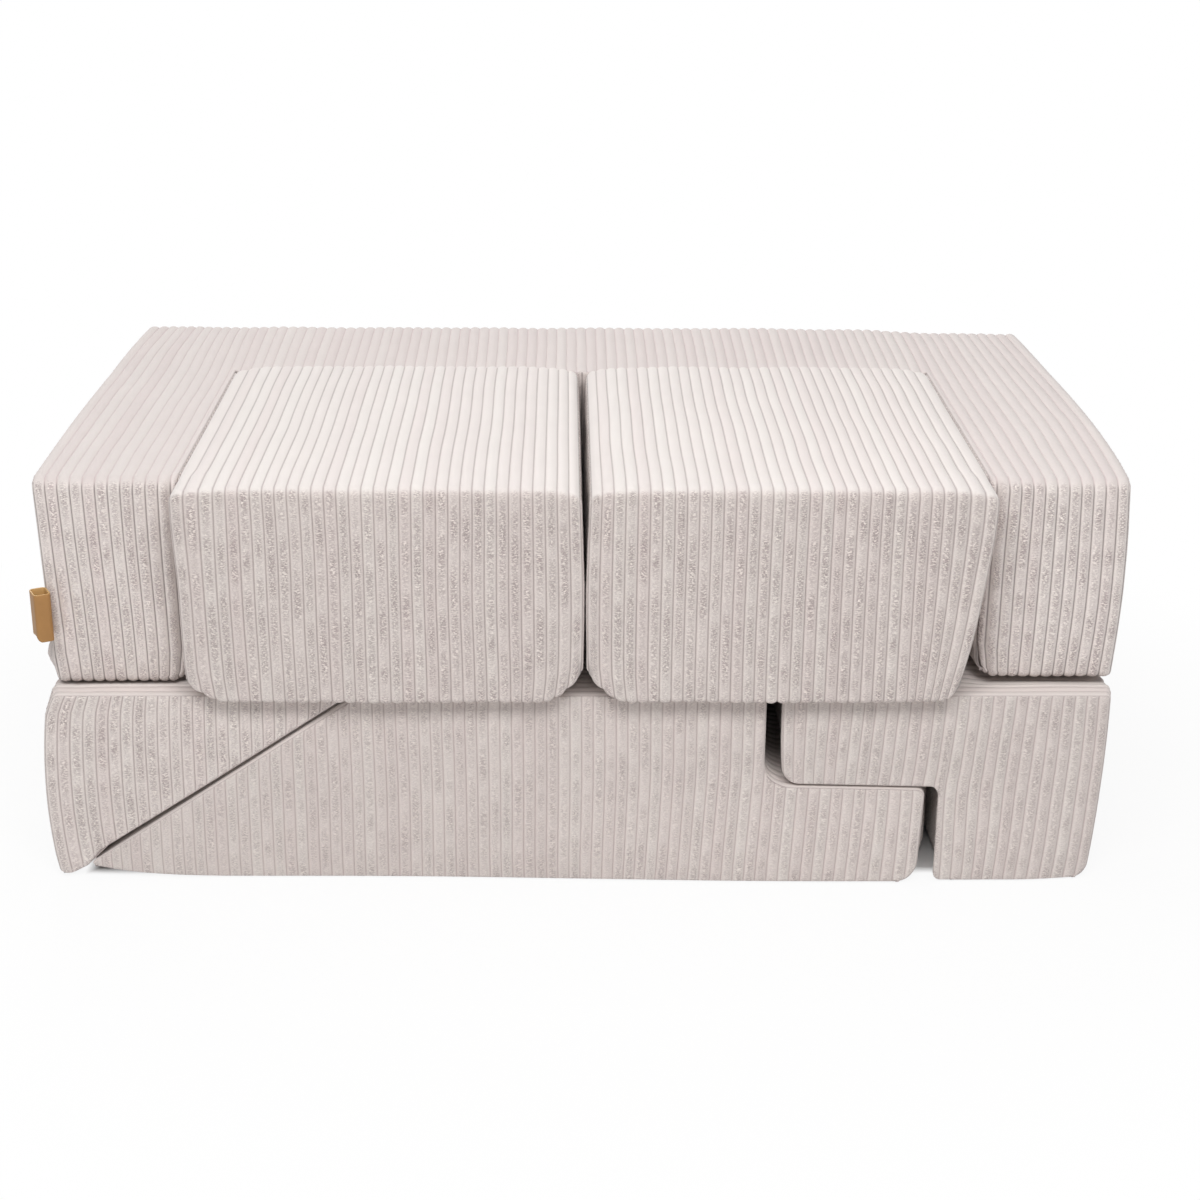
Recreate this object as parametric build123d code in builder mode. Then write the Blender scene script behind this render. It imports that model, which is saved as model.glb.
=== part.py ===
from build123d import *
import math
import os

# A modular foam play sofa, in millimetres: three blocks below, a U-shaped back with arms and two seat cushions above.
# X runs along the sofa, Y runs from the front to the rear and Z runs up.
# The origin is on the floor, at the centre of the footprint of the lower layer.

# Driving dimensions of the two layers
overall_width = 1200
base_height = 230
base_lead = 34
base_side_inset = 6
back_depth = 650
back_height = 238

# Driving dimensions of the seat
arm_width = 156
recess_depth = 448
cushion_lead = 56
cushion_height = 240
cushion_crown = 5
cushion_side_bulge = 2

# Driving dimensions of the lower blocks, along X from the left end and up from the floor
wedge_run = 338
step_from_right = 388
step_height = 112
ledge_length = 184
step_slot = 16
leg_slot = 21

# Sewn covers and the gaps that the pieces keep
skin = 3
foam_ease = 0.3
layer_gap = 0.3
slope_gap = 1.2
cushion_side_gap = 3.5
cushion_middle_gap = 1
cushion_rear_gap = 6
cut_overrun = 5

# Rounded edges of the lower blocks
block_edge_radius = 7
wedge_tip_radius = 5
ramp_tip_radius = 6
ramp_crest_radius = 12
step_fillet_radius = 30
ledge_end_radius = 10
ramp_heel_radius = 26
hook_lip_radius = 22
hook_inner_radius = 8
leg_inner_radius = 12
leg_outer_radius = 18

# Rounded edges of the back and of the cushions
arm_front_radius = 22
back_rear_radius = 22
arm_under_radius = 24
back_foot_radius = 10
cushion_edge_radius = 8
cushion_face_radius = 10
cushion_inner_low_radius = 40
cushion_outer_low_radius = 24

# Zips: a coil on a tape, let into a slot in the rear of each cover, and a slider without a pull tab
zip_slot_width = 12
zip_tape_thickness = 1.2
zip_coil_width = 5
zip_coil_height = 1.3
zip_stop_length = 3
slider_length = 15
slider_width = 9.5
slider_cap = 2.2
slider_nose_radius = 3
slider_chamfer = 0.7
slider_ease = 0.3
zip_margin = 26
wedge_zip_drop = 42
ramp_zip_height = 60
hook_zip_drop = 56
back_zip_height = 42
cushion_zip_height = 70

# Leather tag, folded to a loop and sewn in at the left front corner
tag_width = 19
tag_depth = 25
tag_height = 56
tag_leather = 1.8
tag_corner_radius = 5
tag_low_radius = 10
tag_above_arm_foot = 54
tag_turn_degrees = 27
tag_seam_gap = 0.1

# Places worked out from the driving dimensions
half_width = overall_width / 2
base_half = half_width - base_side_inset
base_depth = back_depth + base_lead
base_front = -base_depth / 2
base_rear = base_depth / 2
upper_bottom = base_height + layer_gap
arm_front = base_front + base_lead
recess_half = half_width - arm_width
recess_rear = arm_front + recess_depth
cushion_front = arm_front - cushion_lead
cushion_rear = recess_rear - cushion_rear_gap
cushion_width = recess_half - cushion_side_gap - cushion_middle_gap / 2
cushion_centre = cushion_middle_gap / 2 + cushion_width / 2
core_inset = skin + foam_ease
slope_angle = math.atan2(base_height, wedge_run)
slope_shift = slope_gap / math.sin(slope_angle) / 2
step_x = base_half - step_from_right
ledge_end = step_x + ledge_length
hook_left = step_x + step_slot
leg_left = ledge_end + leg_slot
hook_under = step_height + layer_gap


def upright_plane(y):
    """The plane that faces the viewer at depth y, with X to the right and Z up."""
    return Plane.XZ.offset(-y)


def slope_x(z):
    """Where the line between the wedge and the ramp stands at height z."""
    return -base_half + wedge_run * z / base_height


os.makedirs("parts", exist_ok=True)


def finish(builder, name):
    """Label a finished piece and write it."""
    builder.part.label = name
    export_step(builder.part, f"parts/{name}.step")


# Front outlines of the lower blocks: the corners in turn, each with its radius
wedge_corners = [
    ((-base_half, base_height), block_edge_radius),
    ((slope_x(base_height) - slope_shift, base_height), wedge_tip_radius),
    ((-base_half, slope_shift * math.tan(slope_angle)), wedge_tip_radius),
]
ramp_corners = [
    ((-base_half + slope_shift, 0), ramp_tip_radius),
    ((slope_x(base_height) + slope_shift, base_height), ramp_crest_radius),
    ((step_x, base_height), block_edge_radius),
    ((step_x, step_height), step_fillet_radius),
    ((ledge_end, step_height), ledge_end_radius),
    ((ledge_end, 0), ramp_heel_radius),
]
hook_corners = [
    ((hook_left, base_height), block_edge_radius),
    ((base_half, base_height), block_edge_radius),
    ((base_half, 0), leg_outer_radius),
    ((leg_left, 0), leg_inner_radius),
    ((leg_left, hook_under), hook_inner_radius),
    ((hook_left, hook_under), hook_lip_radius),
]


def block_envelope(corners, inset):
    """A lower block from front to rear, drawn in by the inset on every side."""
    points = [point for point, radius in corners]
    radii = [radius for point, radius in corners]
    with BuildPart() as envelope:
        with BuildSketch(upright_plane(base_front + inset)):
            with BuildLine():
                FilletPolyline(*points, radius=radii, close=True)
            make_face()
            if inset:
                offset(amount=-inset)
        extrude(amount=-(base_depth - 2 * inset))
    return envelope.part


def back_envelope(inset):
    """The U-shaped back with its arms, drawn in by the inset on every side."""
    top = upper_bottom + back_height - inset
    low = upper_bottom + inset
    front = arm_front + inset
    rear = base_rear - inset
    with BuildPart() as envelope:
        with BuildSketch(Plane.XY.offset(low)):
            with Locations((0, (front + rear) / 2)):
                Rectangle(overall_width - 2 * inset, rear - front)
        extrude(amount=top - low)
        with BuildSketch(Plane.XY.offset(low)):
            with Locations((0, (front - cut_overrun + recess_rear + inset) / 2)):
                Rectangle(2 * (recess_half + inset), recess_rear + inset - front + cut_overrun)
        extrude(amount=top - low, mode=Mode.SUBTRACT)
        low_edges = envelope.edges().filter_by(Axis.Y).group_by(Axis.Z)[0].sort_by(Axis.X)
        fillet(low_edges[1:-1], radius=arm_under_radius - inset)
        low_edges = envelope.edges().filter_by(Axis.Y).group_by(Axis.Z)[0].sort_by(Axis.X)
        fillet([low_edges[0], low_edges[-1]], radius=back_foot_radius - inset)
        front_edges = envelope.edges().filter_by(Axis.X).group_by(Axis.Y)[0]
        fillet(front_edges.group_by(Axis.Z)[-1], radius=arm_front_radius - inset)
        rear_edges = envelope.edges().filter_by(Axis.X).group_by(Axis.Y)[-1]
        fillet(rear_edges.group_by(Axis.Z)[-1], radius=back_rear_radius - inset)
    return envelope.part


def cushion_envelope(side, inset):
    """A seat cushion with its crown, on the left (side -1) or the right (side 1), drawn in by the inset."""
    centre = side * cushion_centre
    left = centre - cushion_width / 2 + cushion_side_bulge
    right = centre + cushion_width / 2 - cushion_side_bulge
    shoulder = upper_bottom + cushion_height
    middle = upper_bottom + cushion_height / 2
    inner_x = left if side > 0 else right
    with BuildPart() as envelope:
        with BuildSketch(upright_plane(cushion_front + inset)) as face:
            with BuildLine():
                Line((left, upper_bottom), (right, upper_bottom))
                ThreePointArc((right, upper_bottom), (right + cushion_side_bulge, middle), (right, shoulder))
                ThreePointArc((right, shoulder), (centre, shoulder + cushion_crown), (left, shoulder))
                ThreePointArc((left, shoulder), (left - cushion_side_bulge, middle), (left, upper_bottom))
            make_face()
            upper = face.vertices().group_by(Axis.Y)[-1]
            fillet(upper, radius=cushion_edge_radius)
            lower = face.vertices().group_by(Axis.Y)[0]
            fillet(lower.sort_by_distance((inner_x, upper_bottom))[0], radius=cushion_inner_low_radius)
            lower = face.vertices().group_by(Axis.Y)[0]
            fillet(lower.sort_by_distance((2 * centre - inner_x, upper_bottom))[0], radius=cushion_outer_low_radius)
            if inset:
                offset(amount=-inset)
        extrude(amount=-(cushion_rear - cushion_front - 2 * inset))
        face_edges = envelope.faces().sort_by(Axis.Y)[0].edges()
        fillet(face_edges, radius=cushion_face_radius - inset)
    return envelope.part


def write_core(name, solid):
    """The foam inside a cover."""
    with BuildPart() as foam_core:
        add(solid)
    finish(foam_core, f"{name}_foam_core")


def cover_of(outer, inner):
    """A whole sewn cover, before it is parted along its seams."""
    with BuildPart() as cover:
        add(outer)
        add(inner, mode=Mode.SUBTRACT)
    return cover.part


def zip_slot(rear, height, left, right):
    """The slot in a rear panel that a zip closes."""
    with BuildPart() as slot:
        with BuildSketch(upright_plane(rear)):
            with Locations(((left + right) / 2, height)):
                SlotOverall(right - left, zip_slot_width)
        extrude(amount=skin)
    return slot.part


def write_zip(name, rear, height, left, right):
    """The zip of one cover: tape and coil in one piece, and the slider on the coil, closed at the right end."""
    tape_face = rear - skin + zip_tape_thickness
    coil_left = left + zip_slot_width / 2
    coil_right = right - zip_slot_width / 2
    with BuildPart() as zip_chain:
        with BuildSketch(upright_plane(rear - skin)):
            with Locations(((left + right) / 2, height)):
                SlotOverall(right - left, zip_slot_width)
        extrude(amount=-zip_tape_thickness)
        with BuildSketch(upright_plane(tape_face)):
            with Locations(((left + right) / 2, height)):
                SlotOverall(coil_right - coil_left, zip_coil_width)
        extrude(amount=-zip_coil_height)
    finish(zip_chain, f"{name}_zip_chain")

    slider_right = coil_right - zip_stop_length
    slider_x = slider_right - slider_length / 2
    slider_foot = tape_face + slider_ease
    with BuildPart() as zip_slider:
        with BuildSketch(upright_plane(slider_foot)):
            with Locations((slider_x, height)):
                RectangleRounded(slider_length, slider_width, slider_nose_radius)
        extrude(amount=-(zip_coil_height + slider_cap))
        with BuildSketch(upright_plane(slider_foot)):
            with Locations((slider_x, height)):
                Rectangle(slider_length, zip_coil_width + 2 * slider_ease)
        extrude(amount=-zip_coil_height, mode=Mode.SUBTRACT)
        top_edges = zip_slider.faces().sort_by(Axis.Y)[-1].edges()
        chamfer(top_edges, length=slider_chamfer)
    finish(zip_slider, f"{name}_zip_slider")
    travel = slider_right - slider_length - coil_left - zip_stop_length
    print(f"{name} zip slider travels {travel:.1f} mm from the right end")


def write_block(name, corners, low_plane, low_name, zip_height, zip_left, zip_right):
    """One lower block: foam, front and rear panels, a boxing strip, a panel beneath, and a zip in the rear."""
    write_core(name, block_envelope(corners, core_inset))
    outer = block_envelope(corners, 0)
    with BuildPart() as front_panel:
        add(outer)
        split(bisect_by=upright_plane(base_front + skin), keep=Keep.TOP)
    finish(front_panel, f"{name}_front_panel")
    with BuildPart() as back_panel:
        add(outer)
        split(bisect_by=upright_plane(base_rear - skin), keep=Keep.BOTTOM)
        add(zip_slot(base_rear, zip_height, zip_left, zip_right), mode=Mode.SUBTRACT)
    finish(back_panel, f"{name}_back_panel")
    with BuildPart() as ring:
        add(cover_of(outer, block_envelope(corners, skin)))
        split(bisect_by=upright_plane(base_front + skin), keep=Keep.BOTTOM)
        split(bisect_by=upright_plane(base_rear - skin), keep=Keep.TOP)
    with BuildPart() as boxing_strip:
        add(ring.part)
        split(bisect_by=low_plane, keep=Keep.TOP)
    finish(boxing_strip, f"{name}_boxing_strip")
    with BuildPart() as low_panel:
        add(ring.part)
        split(bisect_by=low_plane, keep=Keep.BOTTOM)
    finish(low_panel, f"{name}_{low_name}")
    write_zip(name, base_rear, zip_height, zip_left, zip_right)


slope_normal = (-math.sin(slope_angle), 0, math.cos(slope_angle))
slope_point = Vector(-base_half, 0, slope_shift * math.tan(slope_angle))
wedge_low_plane = Plane(origin=slope_point + Vector(slope_normal) * skin, z_dir=slope_normal)
floor_panel_plane = Plane.XY.offset(skin)

wedge_zip_height = base_height - wedge_zip_drop
hook_zip_height = base_height - hook_zip_drop
write_block(
    "wedge", wedge_corners, wedge_low_plane, "slope_panel",
    wedge_zip_height, -base_half + zip_margin, slope_x(wedge_zip_height - zip_slot_width) - zip_margin,
)
write_block(
    "ramp_block", ramp_corners, floor_panel_plane, "bottom_panel",
    ramp_zip_height, slope_x(ramp_zip_height + zip_slot_width) + zip_margin, ledge_end - zip_margin,
)
write_block(
    "hook_block", hook_corners, floor_panel_plane, "bottom_panel",
    hook_zip_height, hook_left + zip_margin, base_half - zip_margin,
)


back_cover = cover_of(back_envelope(0), back_envelope(skin))
back_zip_z = upper_bottom + back_zip_height
back_zip_half = half_width - 2 * zip_margin
sole_plane = Plane.XY.offset(upper_bottom + skin)
left_seam_plane = Plane.YZ.offset(-half_width + skin)
right_seam_plane = Plane.YZ.offset(half_width - skin)


def recess_space():
    """The space of the seat recess with the thickness of its lining, up to the seam under the top."""
    low = upper_bottom + skin
    high = upper_bottom + back_height - skin
    front = arm_front + skin
    rear = recess_rear + skin
    with BuildPart() as space:
        with BuildSketch(Plane.XY.offset(low)):
            with Locations((0, (front + rear) / 2)):
                Rectangle(2 * (recess_half + skin), rear - front)
        extrude(amount=high - low)
    return space.part


write_core("back", back_envelope(core_inset))
with BuildPart() as back_bottom_panel:
    add(back_cover)
    split(bisect_by=sole_plane, keep=Keep.BOTTOM)
finish(back_bottom_panel, "back_bottom_panel")
with BuildPart() as back_recess_strip:
    add(back_cover)
    add(recess_space(), mode=Mode.INTERSECT)
finish(back_recess_strip, "back_recess_strip")
with BuildPart() as back_left_side_panel:
    add(back_cover)
    split(bisect_by=sole_plane, keep=Keep.TOP)
    split(bisect_by=left_seam_plane, keep=Keep.BOTTOM)
finish(back_left_side_panel, "back_left_side_panel")
with BuildPart() as back_right_side_panel:
    add(back_cover)
    split(bisect_by=sole_plane, keep=Keep.TOP)
    split(bisect_by=right_seam_plane, keep=Keep.TOP)
finish(back_right_side_panel, "back_right_side_panel")
with BuildPart() as back_main_panel:
    add(back_cover)
    split(bisect_by=sole_plane, keep=Keep.TOP)
    split(bisect_by=left_seam_plane, keep=Keep.TOP)
    split(bisect_by=right_seam_plane, keep=Keep.BOTTOM)
    add(recess_space(), mode=Mode.SUBTRACT)
    add(zip_slot(base_rear, back_zip_z, -back_zip_half, back_zip_half), mode=Mode.SUBTRACT)
finish(back_main_panel, "back_main_panel")
write_zip("back", base_rear, back_zip_z, -back_zip_half, back_zip_half)

# The leather tag: a loop that stands across the left front corner of the arm, its inner face on the seam
tag_turn = math.radians(tag_turn_degrees)
tag_reach = tag_width / 2 + tag_seam_gap
tag_across = Vector(math.cos(tag_turn), math.sin(tag_turn), 0)
tag_outward = Vector(math.sin(tag_turn), -math.cos(tag_turn), 0)
tag_centre = Vector(-half_width, arm_front, upper_bottom + tag_above_arm_foot) - tag_across * tag_reach
tag_plane = Plane(origin=tag_centre, x_dir=tag_across, z_dir=(0, 0, 1))
tag_front_plane = Plane(origin=tag_centre, x_dir=tag_across, z_dir=tag_outward)
with BuildPart() as back_leather_tag:
    with BuildSketch(tag_plane):
        RectangleRounded(tag_width, tag_depth, tag_corner_radius)
    extrude(amount=tag_height)
    with BuildSketch(tag_plane):
        RectangleRounded(tag_width - 2 * tag_leather, tag_depth - 2 * tag_leather, tag_corner_radius - tag_leather)
    extrude(amount=tag_height, mode=Mode.SUBTRACT)
    with BuildSketch(tag_front_plane) as tag_face:
        with Locations((0, tag_height / 2)):
            Rectangle(tag_width, tag_height)
        low_corner = tag_face.vertices().group_by(Axis.Y)[0].sort_by(Axis.X)[0]
        fillet(low_corner, radius=tag_low_radius)
    extrude(amount=tag_depth, both=True, mode=Mode.INTERSECT)
finish(back_leather_tag, "back_leather_tag")

for side, name in ((-1, "left_cushion"), (1, "right_cushion")):
    write_core(name, cushion_envelope(side, core_inset))
    cushion_cover = cover_of(cushion_envelope(side, 0), cushion_envelope(side, skin))
    seam_half = cushion_width / 2 - cushion_side_bulge - skin
    left_plane = Plane.YZ.offset(side * cushion_centre - seam_half)
    right_plane = Plane.YZ.offset(side * cushion_centre + seam_half)
    zip_z = upper_bottom + cushion_zip_height
    zip_left = side * cushion_centre - seam_half + zip_margin
    zip_right = side * cushion_centre + seam_half - zip_margin
    with BuildPart() as wrap_panel:
        add(cushion_cover)
        split(bisect_by=left_plane, keep=Keep.TOP)
        split(bisect_by=right_plane, keep=Keep.BOTTOM)
        add(zip_slot(cushion_rear, zip_z, zip_left, zip_right), mode=Mode.SUBTRACT)
    finish(wrap_panel, f"{name}_wrap_panel")
    with BuildPart() as left_side_panel:
        add(cushion_cover)
        split(bisect_by=left_plane, keep=Keep.BOTTOM)
    finish(left_side_panel, f"{name}_left_side_panel")
    with BuildPart() as right_side_panel:
        add(cushion_cover)
        split(bisect_by=right_plane, keep=Keep.TOP)
    finish(right_side_panel, f"{name}_right_side_panel")
    write_zip(name, cushion_rear, zip_z, zip_left, zip_right)
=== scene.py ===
# %% [markdown]
# A modular play sofa in wide-wale corduroy.
#
# The real sofa is six blocks of firm foam, each in a sewn cover of corduroy with ribs about 13 mm
# wide. Three blocks make the lower layer, and a U-shaped back with arms and two seat cushions lie on
# top. Every panel of every cover is made here as its own ribbed sheet, sewn where the real covers
# have their seams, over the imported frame.

# %% Load the frame
import math
from collections import namedtuple

import bmesh
import bpy
import numpy as np
from mathutils import Matrix, Vector


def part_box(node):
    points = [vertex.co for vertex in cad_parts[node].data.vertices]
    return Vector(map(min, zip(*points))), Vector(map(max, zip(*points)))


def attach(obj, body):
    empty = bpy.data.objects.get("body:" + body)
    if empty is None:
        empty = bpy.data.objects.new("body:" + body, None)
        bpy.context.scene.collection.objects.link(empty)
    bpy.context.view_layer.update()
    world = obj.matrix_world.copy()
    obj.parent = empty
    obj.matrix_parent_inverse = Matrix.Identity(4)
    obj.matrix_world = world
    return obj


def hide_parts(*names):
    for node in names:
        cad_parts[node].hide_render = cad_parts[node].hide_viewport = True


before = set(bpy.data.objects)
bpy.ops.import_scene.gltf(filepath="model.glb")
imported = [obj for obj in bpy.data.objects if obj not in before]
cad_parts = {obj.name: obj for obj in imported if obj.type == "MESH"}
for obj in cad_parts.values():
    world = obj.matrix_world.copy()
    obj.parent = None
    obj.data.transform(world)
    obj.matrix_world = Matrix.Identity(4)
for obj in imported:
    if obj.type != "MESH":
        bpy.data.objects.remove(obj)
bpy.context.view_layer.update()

# %% [markdown]
# The sizes of the blocks come from the boxes of the frame's own nodes. The places of the step, the
# ledge and the gaps between the lower blocks are corners inside an outline, so they are named here
# again, in metres.

# %% Sizes of the lower layer
base_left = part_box("wedge_front_panel")[0][0]
base_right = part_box("hook_block_front_panel")[1][0]
base_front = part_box("ramp_block_front_panel")[0][1]
base_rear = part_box("ramp_block_back_panel")[1][1]
base_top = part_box("ramp_block_front_panel")[1][2]
ledge_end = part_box("ramp_block_front_panel")[1][0]
hook_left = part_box("hook_block_front_panel")[0][0]
step_x = hook_left - 0.016
step_z = 0.112
hook_under = 0.1123
leg_left = ledge_end + 0.021
wedge_run = 0.338
slope_angle = math.atan2(base_top, wedge_run)
slope_shift = 0.0006 / math.sin(slope_angle)
print("lower layer:", [round(v, 4) for v in (base_left, base_right, base_front, base_rear, base_top)])

# %% Sizes of the upper layer
arm_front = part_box("back_main_panel")[0][1]
back_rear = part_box("back_main_panel")[1][1]
back_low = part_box("back_bottom_panel")[0][2]
back_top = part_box("back_main_panel")[1][2]
back_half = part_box("back_right_side_panel")[1][0]
skin = 0.003
recess_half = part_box("back_recess_strip")[1][0] - skin
recess_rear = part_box("back_recess_strip")[1][1] - skin
cushion_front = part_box("left_cushion_wrap_panel")[0][1]
cushion_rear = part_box("left_cushion_wrap_panel")[1][1]
left_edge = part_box("left_cushion_left_side_panel")[0][0]
right_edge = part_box("left_cushion_right_side_panel")[1][0]
cushion_half = (right_edge - left_edge) / 2
cushion_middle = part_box("right_cushion_right_side_panel")[1][0] - cushion_half
cushion_crown = 0.005
cushion_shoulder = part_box("left_cushion_wrap_panel")[1][2] - cushion_crown
print("upper layer:", [round(v, 4) for v in (arm_front, back_rear, back_top, recess_half, recess_rear)])
print("cushions:", [round(v, 4) for v in (cushion_front, cushion_rear, cushion_half, cushion_shoulder)])

# %% [markdown]
# The camera comes from fitting a pinhole to the corners of the blocks in the photograph. It stands
# 2.2 m in front of the arms, a little left of the middle, and looks down by about 21 degrees.

# %% Camera
camera_at = Vector((-0.0240, -2.4876, 1.1876))
yaw, pitch_down, roll_right = (math.radians(angle) for angle in (-1.08, 21.45, 0.44))
level = Vector((-math.sin(yaw), math.cos(yaw), 0))
rightward = Vector((math.cos(yaw), math.sin(yaw), 0))
forward = level * math.cos(pitch_down) - Vector((0, 0, math.sin(pitch_down)))
upward = level * math.sin(pitch_down) + Vector((0, 0, math.cos(pitch_down)))
camera_x = rightward * math.cos(roll_right) + upward * math.sin(roll_right)
camera_y = upward * math.cos(roll_right) - rightward * math.sin(roll_right)
camera_turn = Matrix((camera_x, camera_y, -forward)).transposed()
camera_data = bpy.data.cameras.new("camera")
camera_data.sensor_width = 36
camera_data.lens = 62.9
camera = bpy.data.objects.new("camera", camera_data)
camera.matrix_world = Matrix.Translation(camera_at) @ camera_turn.to_4x4()
bpy.context.scene.collection.objects.link(camera)
bpy.context.scene.camera = camera
print("camera at", camera_at, "lens", camera_data.lens, "mm")

# %% [markdown]
# Materials are sums of small patterns, so they read best as arithmetic. A thin class wraps the output
# socket of a node and turns +, - and * into Math nodes. One method makes every other node from its
# settings and its inputs.


# %% Shader arithmetic
class Wire:
    """An output socket that does sums."""

    def __init__(self, dye, socket):
        self.dye = dye
        self.socket = socket

    def math(self, operation, *others):
        """A Math node on this wire and others, which may be numbers."""
        return self.dye.node("Math", {"operation": operation}, *[self, *others])

    def __add__(self, other):
        return self.math("ADD", other)

    __radd__ = __add__

    def __mul__(self, other):
        return self.math("MULTIPLY", other)

    __rmul__ = __mul__

    def __sub__(self, other):
        return self.math("SUBTRACT", other)

    def __rsub__(self, other):
        return self.dye.node("Math", {"operation": "SUBTRACT"}, other, self)


class Dye:
    """One material, or the world, and its node tree."""

    def __init__(self, name, owner=None):
        self.material = owner or bpy.data.materials.new(name)
        self.material.use_nodes = True
        self.tree = self.material.node_tree
        self.surface, self.out = (self.tree.nodes[kind] for kind in (
            ("Background", "World Output") if owner else ("Principled BSDF", "Material Output")))

    def feed(self, socket, value):
        """Link a wire to a socket, or set a plain value on it."""
        if isinstance(value, Wire):
            self.tree.links.new(value.socket, socket)
        else:
            socket.default_value = value

    def node(self, kind, settings, *inputs, out=0, **named):
        """A node: its settings first, then its inputs by place or by name, where None is left alone."""
        made = self.tree.nodes.new("ShaderNode" + kind)
        for setting, value in settings.items():
            setattr(made, setting, value)
        for key, value in [*enumerate(inputs), *named.items()]:
            if value is not None:
                self.feed(made.inputs[key], value)
        return Wire(self, made.outputs[out])

    def mix(self, factor, first, second, blend="MIX"):
        """A colour between two, which are inputs 6 and 7 of a Mix node. Its output 2 comes back."""
        settings = {"data_type": "RGBA", "blend_type": blend}
        return self.node("Mix", settings, factor, *[None] * 5, first, second, out=2)

    def place(self):
        """Where a point lies in the piece's own space."""
        return self.node("TexCoord", {}, out="Object")

    def axis(self, vector, number):
        """One of the three numbers of a vector."""
        return self.node("SeparateXYZ", {}, vector, out=number)

    def grey(self, value):
        """The same number in all three channels, to multiply a colour with."""
        return self.node("CombineColor", {}, value, value, value)

    def seen_directly(self):
        """1 for rays from the camera and those that reach it by a mirror or through glass, else 0."""
        kinds = ("Camera", "Glossy", "Transmission")
        direct, mirrored, through = (self.node("LightPath", {}, out=f"Is {kind} Ray") for kind in kinds)
        return direct.math("MAXIMUM", mirrored).math("MAXIMUM", through)

    def glow(self, factor, kind, colour):
        """Mix a plain glowing shader over the surface by a factor."""
        shine = self.node(kind, {}, colour, 1.0)
        blend = self.node("MixShader", {}, factor, Wire(self, self.surface.outputs[0]), shine)
        self.tree.links.new(blend.socket, self.out.inputs[0])

    def finish(self, **values):
        """Set or feed sockets of the surface shader, by name with _ for a space."""
        for key, value in values.items():
            self.feed(self.surface.inputs[key.replace("_", " ")], value)
        return self.material


print("shader arithmetic is ready")

# %% [markdown]
# Corduroy is cotton with a cut pile that stands in ribs. Seen close, each rib catches the light a little
# differently, and the pile on the upright faces is ruffled into fine specks. Some of this is painted:
# shade in the grooves between the ribs, shading across each rib's roundness, light and shade on the
# specks, and light on level faces, whose colour differs from that of upright faces. The ribs themselves
# are in the meshes, and every sheet has a UV map that counts ribs across and metres along, so the
# material can tell one rib from the next and can paint the shade in the grooves exactly.

# %% Corduroy


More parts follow.
